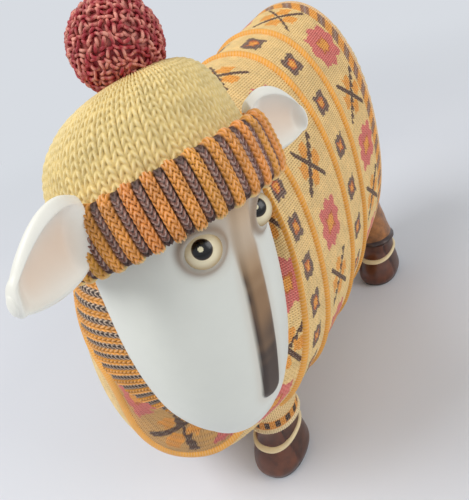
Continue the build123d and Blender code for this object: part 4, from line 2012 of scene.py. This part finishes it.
@dataclass(frozen=True)
class Stage:
    """The pale floor, the soft light and the camera, which stands in mm from the feet."""

    body: Body
    floor_size: float = 40.0
    backdrop: str = "d8dce2"
    table_low: str = "dde1ea"
    table_high: str = "e4e7ee"
    table_roughness: float = 0.7
    fade_start: float = 0.16
    fade_end: float = 0.60
    sky: str = "f4f3f0"
    sky_strength: float = 0.52
    focal_pixels: float = 540.0
    frame_pixels: float = 500.0
    sensor: float = 36.0
    camera: tuple[float, float, float] = (111.5, -151.3, 163.0)
    yaw: float = 41.3
    pitch: float = 29.4
    roll: float = 19.9

    def build(self) -> None:
        """Make the floor, the lamps, the world and the camera."""
        self.build_floor()
        self.build_lights()
        self.build_camera()

    def build_floor(self) -> None:
        """Lay a plain pale floor that keeps the shadow."""
        work = bmesh.new()
        bmesh.ops.create_grid(work, x_segments=2, y_segments=2, size=self.floor_size / 2)
        mesh = bpy.data.meshes.new("floor")
        work.to_mesh(mesh)
        work.free()
        floor = bpy.data.objects.new("floor", mesh)
        bpy.context.scene.collection.objects.link(floor)
        material = bpy.data.materials.new("pale_matt_table")
        material.use_nodes = True
        tree = material.node_tree
        shader = tree.nodes["Principled BSDF"]
        shader.inputs["Roughness"].default_value = self.table_roughness
        place = add_node(tree, "ShaderNodeTexCoord", {}, {}).outputs["Object"]
        cloud = add_node(
            tree, "ShaderNodeTexNoise", {"Scale": 9.0, "Detail": 2.0}, {"Vector": place},
        ).outputs["Fac"]
        ramp = add_node(tree, "ShaderNodeValToRGB", {}, {"Fac": cloud})
        ramp.color_ramp.elements[0].color = linear(self.table_low)
        ramp.color_ramp.elements[1].color = linear(self.table_high)
        tree.links.new(ramp.outputs["Color"], shader.inputs["Base Color"])
        away = add_node(
            tree, "ShaderNodeVectorMath", {"operation": "LENGTH"}, {0: place},
        ).outputs["Value"]
        far = add_node(
            tree, "ShaderNodeMapRange",
            {"From Min": self.fade_start, "From Max": self.fade_end,
             "interpolation_type": "SMOOTHSTEP"},
            {"Value": away},
        ).outputs["Result"]
        path = add_node(tree, "ShaderNodeLightPath", {}, {}).outputs["Is Camera Ray"]
        seen = add_node(
            tree, "ShaderNodeMath", {"operation": "MULTIPLY"}, {0: far, 1: path},
        ).outputs["Value"]
        glow = add_node(
            tree, "ShaderNodeEmission", {"Color": linear(self.backdrop), "Strength": 1.0}, {},
        ).outputs["Emission"]
        mixed = add_node(
            tree, "ShaderNodeMixShader", {}, {0: seen, 1: shader.outputs["BSDF"], 2: glow},
        ).outputs["Shader"]
        tree.links.new(mixed, tree.nodes["Material Output"].inputs["Surface"])
        floor.data.materials.append(material)

    def build_lights(self) -> None:
        """Set a big soft lamp, a weaker one and an even pale world."""
        world = bpy.data.worlds.new("studio")
        bpy.context.scene.world = world
        world.use_nodes = True
        tree = world.node_tree
        back = tree.nodes["Background"]
        back.inputs["Color"].default_value = linear(self.sky)
        back.inputs["Strength"].default_value = self.sky_strength
        seen = add_node(
            tree, "ShaderNodeBackground", {"Color": linear(self.backdrop), "Strength": 1.0}, {},
        ).outputs["Background"]
        path = add_node(tree, "ShaderNodeLightPath", {}, {}).outputs
        shiny = add_node(
            tree, "ShaderNodeMath", {"operation": "MAXIMUM"},
            {0: path["Is Glossy Ray"], 1: path["Is Transmission Ray"]},
        ).outputs["Value"]
        direct = add_node(
            tree, "ShaderNodeMath", {"operation": "MAXIMUM"}, {0: path["Is Camera Ray"], 1: shiny},
        ).outputs["Value"]
        mixed = add_node(
            tree, "ShaderNodeMixShader", {}, {0: direct, 1: back.outputs["Background"], 2: seen},
        ).outputs["Shader"]
        tree.links.new(mixed, tree.nodes["World Output"].inputs["Surface"])
        self.add_lamp("key", (-0.25, -0.45, 0.75), size=0.45, power=4.4)
        self.add_lamp("fill", (0.75, 0.1, 0.5), size=0.5, power=2.4)

    def add_lamp(self, name: str, place: tuple[float, float, float], size: float,
                 power: float) -> None:
        """Add a square area lamp aimed at the figurine.

        Args:
            name: the lamp's name.
            place: where it hangs, in metres.
            size: its width in metres.
            power: its power in watts.
        """
        data = bpy.data.lights.new(name, "AREA")
        data.size, data.energy = size, power
        lamp = bpy.data.objects.new(name, data)
        lamp.location = place
        aim = Vector((0.0, 0.0, 0.08)) - Vector(place)
        lamp.rotation_euler = aim.to_track_quat("-Z", "Y").to_euler()
        bpy.context.scene.collection.objects.link(lamp)

    def build_camera(self) -> None:
        """Stand the camera where the photograph was taken."""
        data = bpy.data.cameras.new("camera")
        data.sensor_width = self.sensor
        data.lens = self.focal_pixels * self.sensor / self.frame_pixels
        data.clip_start = 0.005
        camera = bpy.data.objects.new("camera", data)
        yaw, pitch, roll = (math.radians(part) for part in (self.yaw, self.pitch, self.roll))
        flat = math.cos(pitch)
        ahead = Vector((-math.sin(yaw) * flat, math.cos(yaw) * flat, -math.sin(pitch)))
        level = Vector((math.cos(yaw), math.sin(yaw), 0.0))
        above = level.cross(ahead)
        right = level * math.cos(roll) - above * math.sin(roll)
        up = level * math.sin(roll) + above * math.cos(roll)
        turned = Matrix((right, up, -ahead)).transposed()
        place = (Vector(self.camera) + Vector(self.body.shift().tolist())) * MM
        camera.matrix_world = Matrix.Translation(place) @ turned.to_4x4()
        bpy.context.scene.collection.objects.link(camera)
        bpy.context.scene.camera = camera


def find_origin() -> tuple[float, float]:
    """Return the floor point between the four boots, in mm in the frame.

    Returns:
        Its X and Y.
    """
    names = ("front_left", "front_right", "rear_left", "rear_right")
    corners = [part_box(f"boot_{name}") for name in names]
    middle = np.mean([(np.array(low) + np.array(high)) / 2 for low, high in corners], axis=0) / MM
    return float(middle[0]), float(middle[1])


def main() -> None:
    """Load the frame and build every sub-assembly."""
    logging.basicConfig(level=logging.INFO, format="%(name)s %(message)s")
    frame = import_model()
    scene = bpy.context.scene
    scene.view_settings.view_transform = "Standard"
    body = Body(find_origin())
    head = Head(body)
    Sweater(body).build()
    Collar(body).build()
    Rump(body).build()
    head.build()
    Hat(head).build()
    for name in ("front_left", "front_right", "rear_left", "rear_right"):
        kind = LegKind.SLEEVE if name.startswith("front") else LegKind.STOCKING
        Leg(body, name, kind).build()
    for name, node in frame["nodes"].items():
        if "pin" in name or "peg" in name:
            (Finish.PEG if "peg" in name else Finish.PIN).dress(node)
    Stage(body).build()


if __name__ == "__main__":
    main()
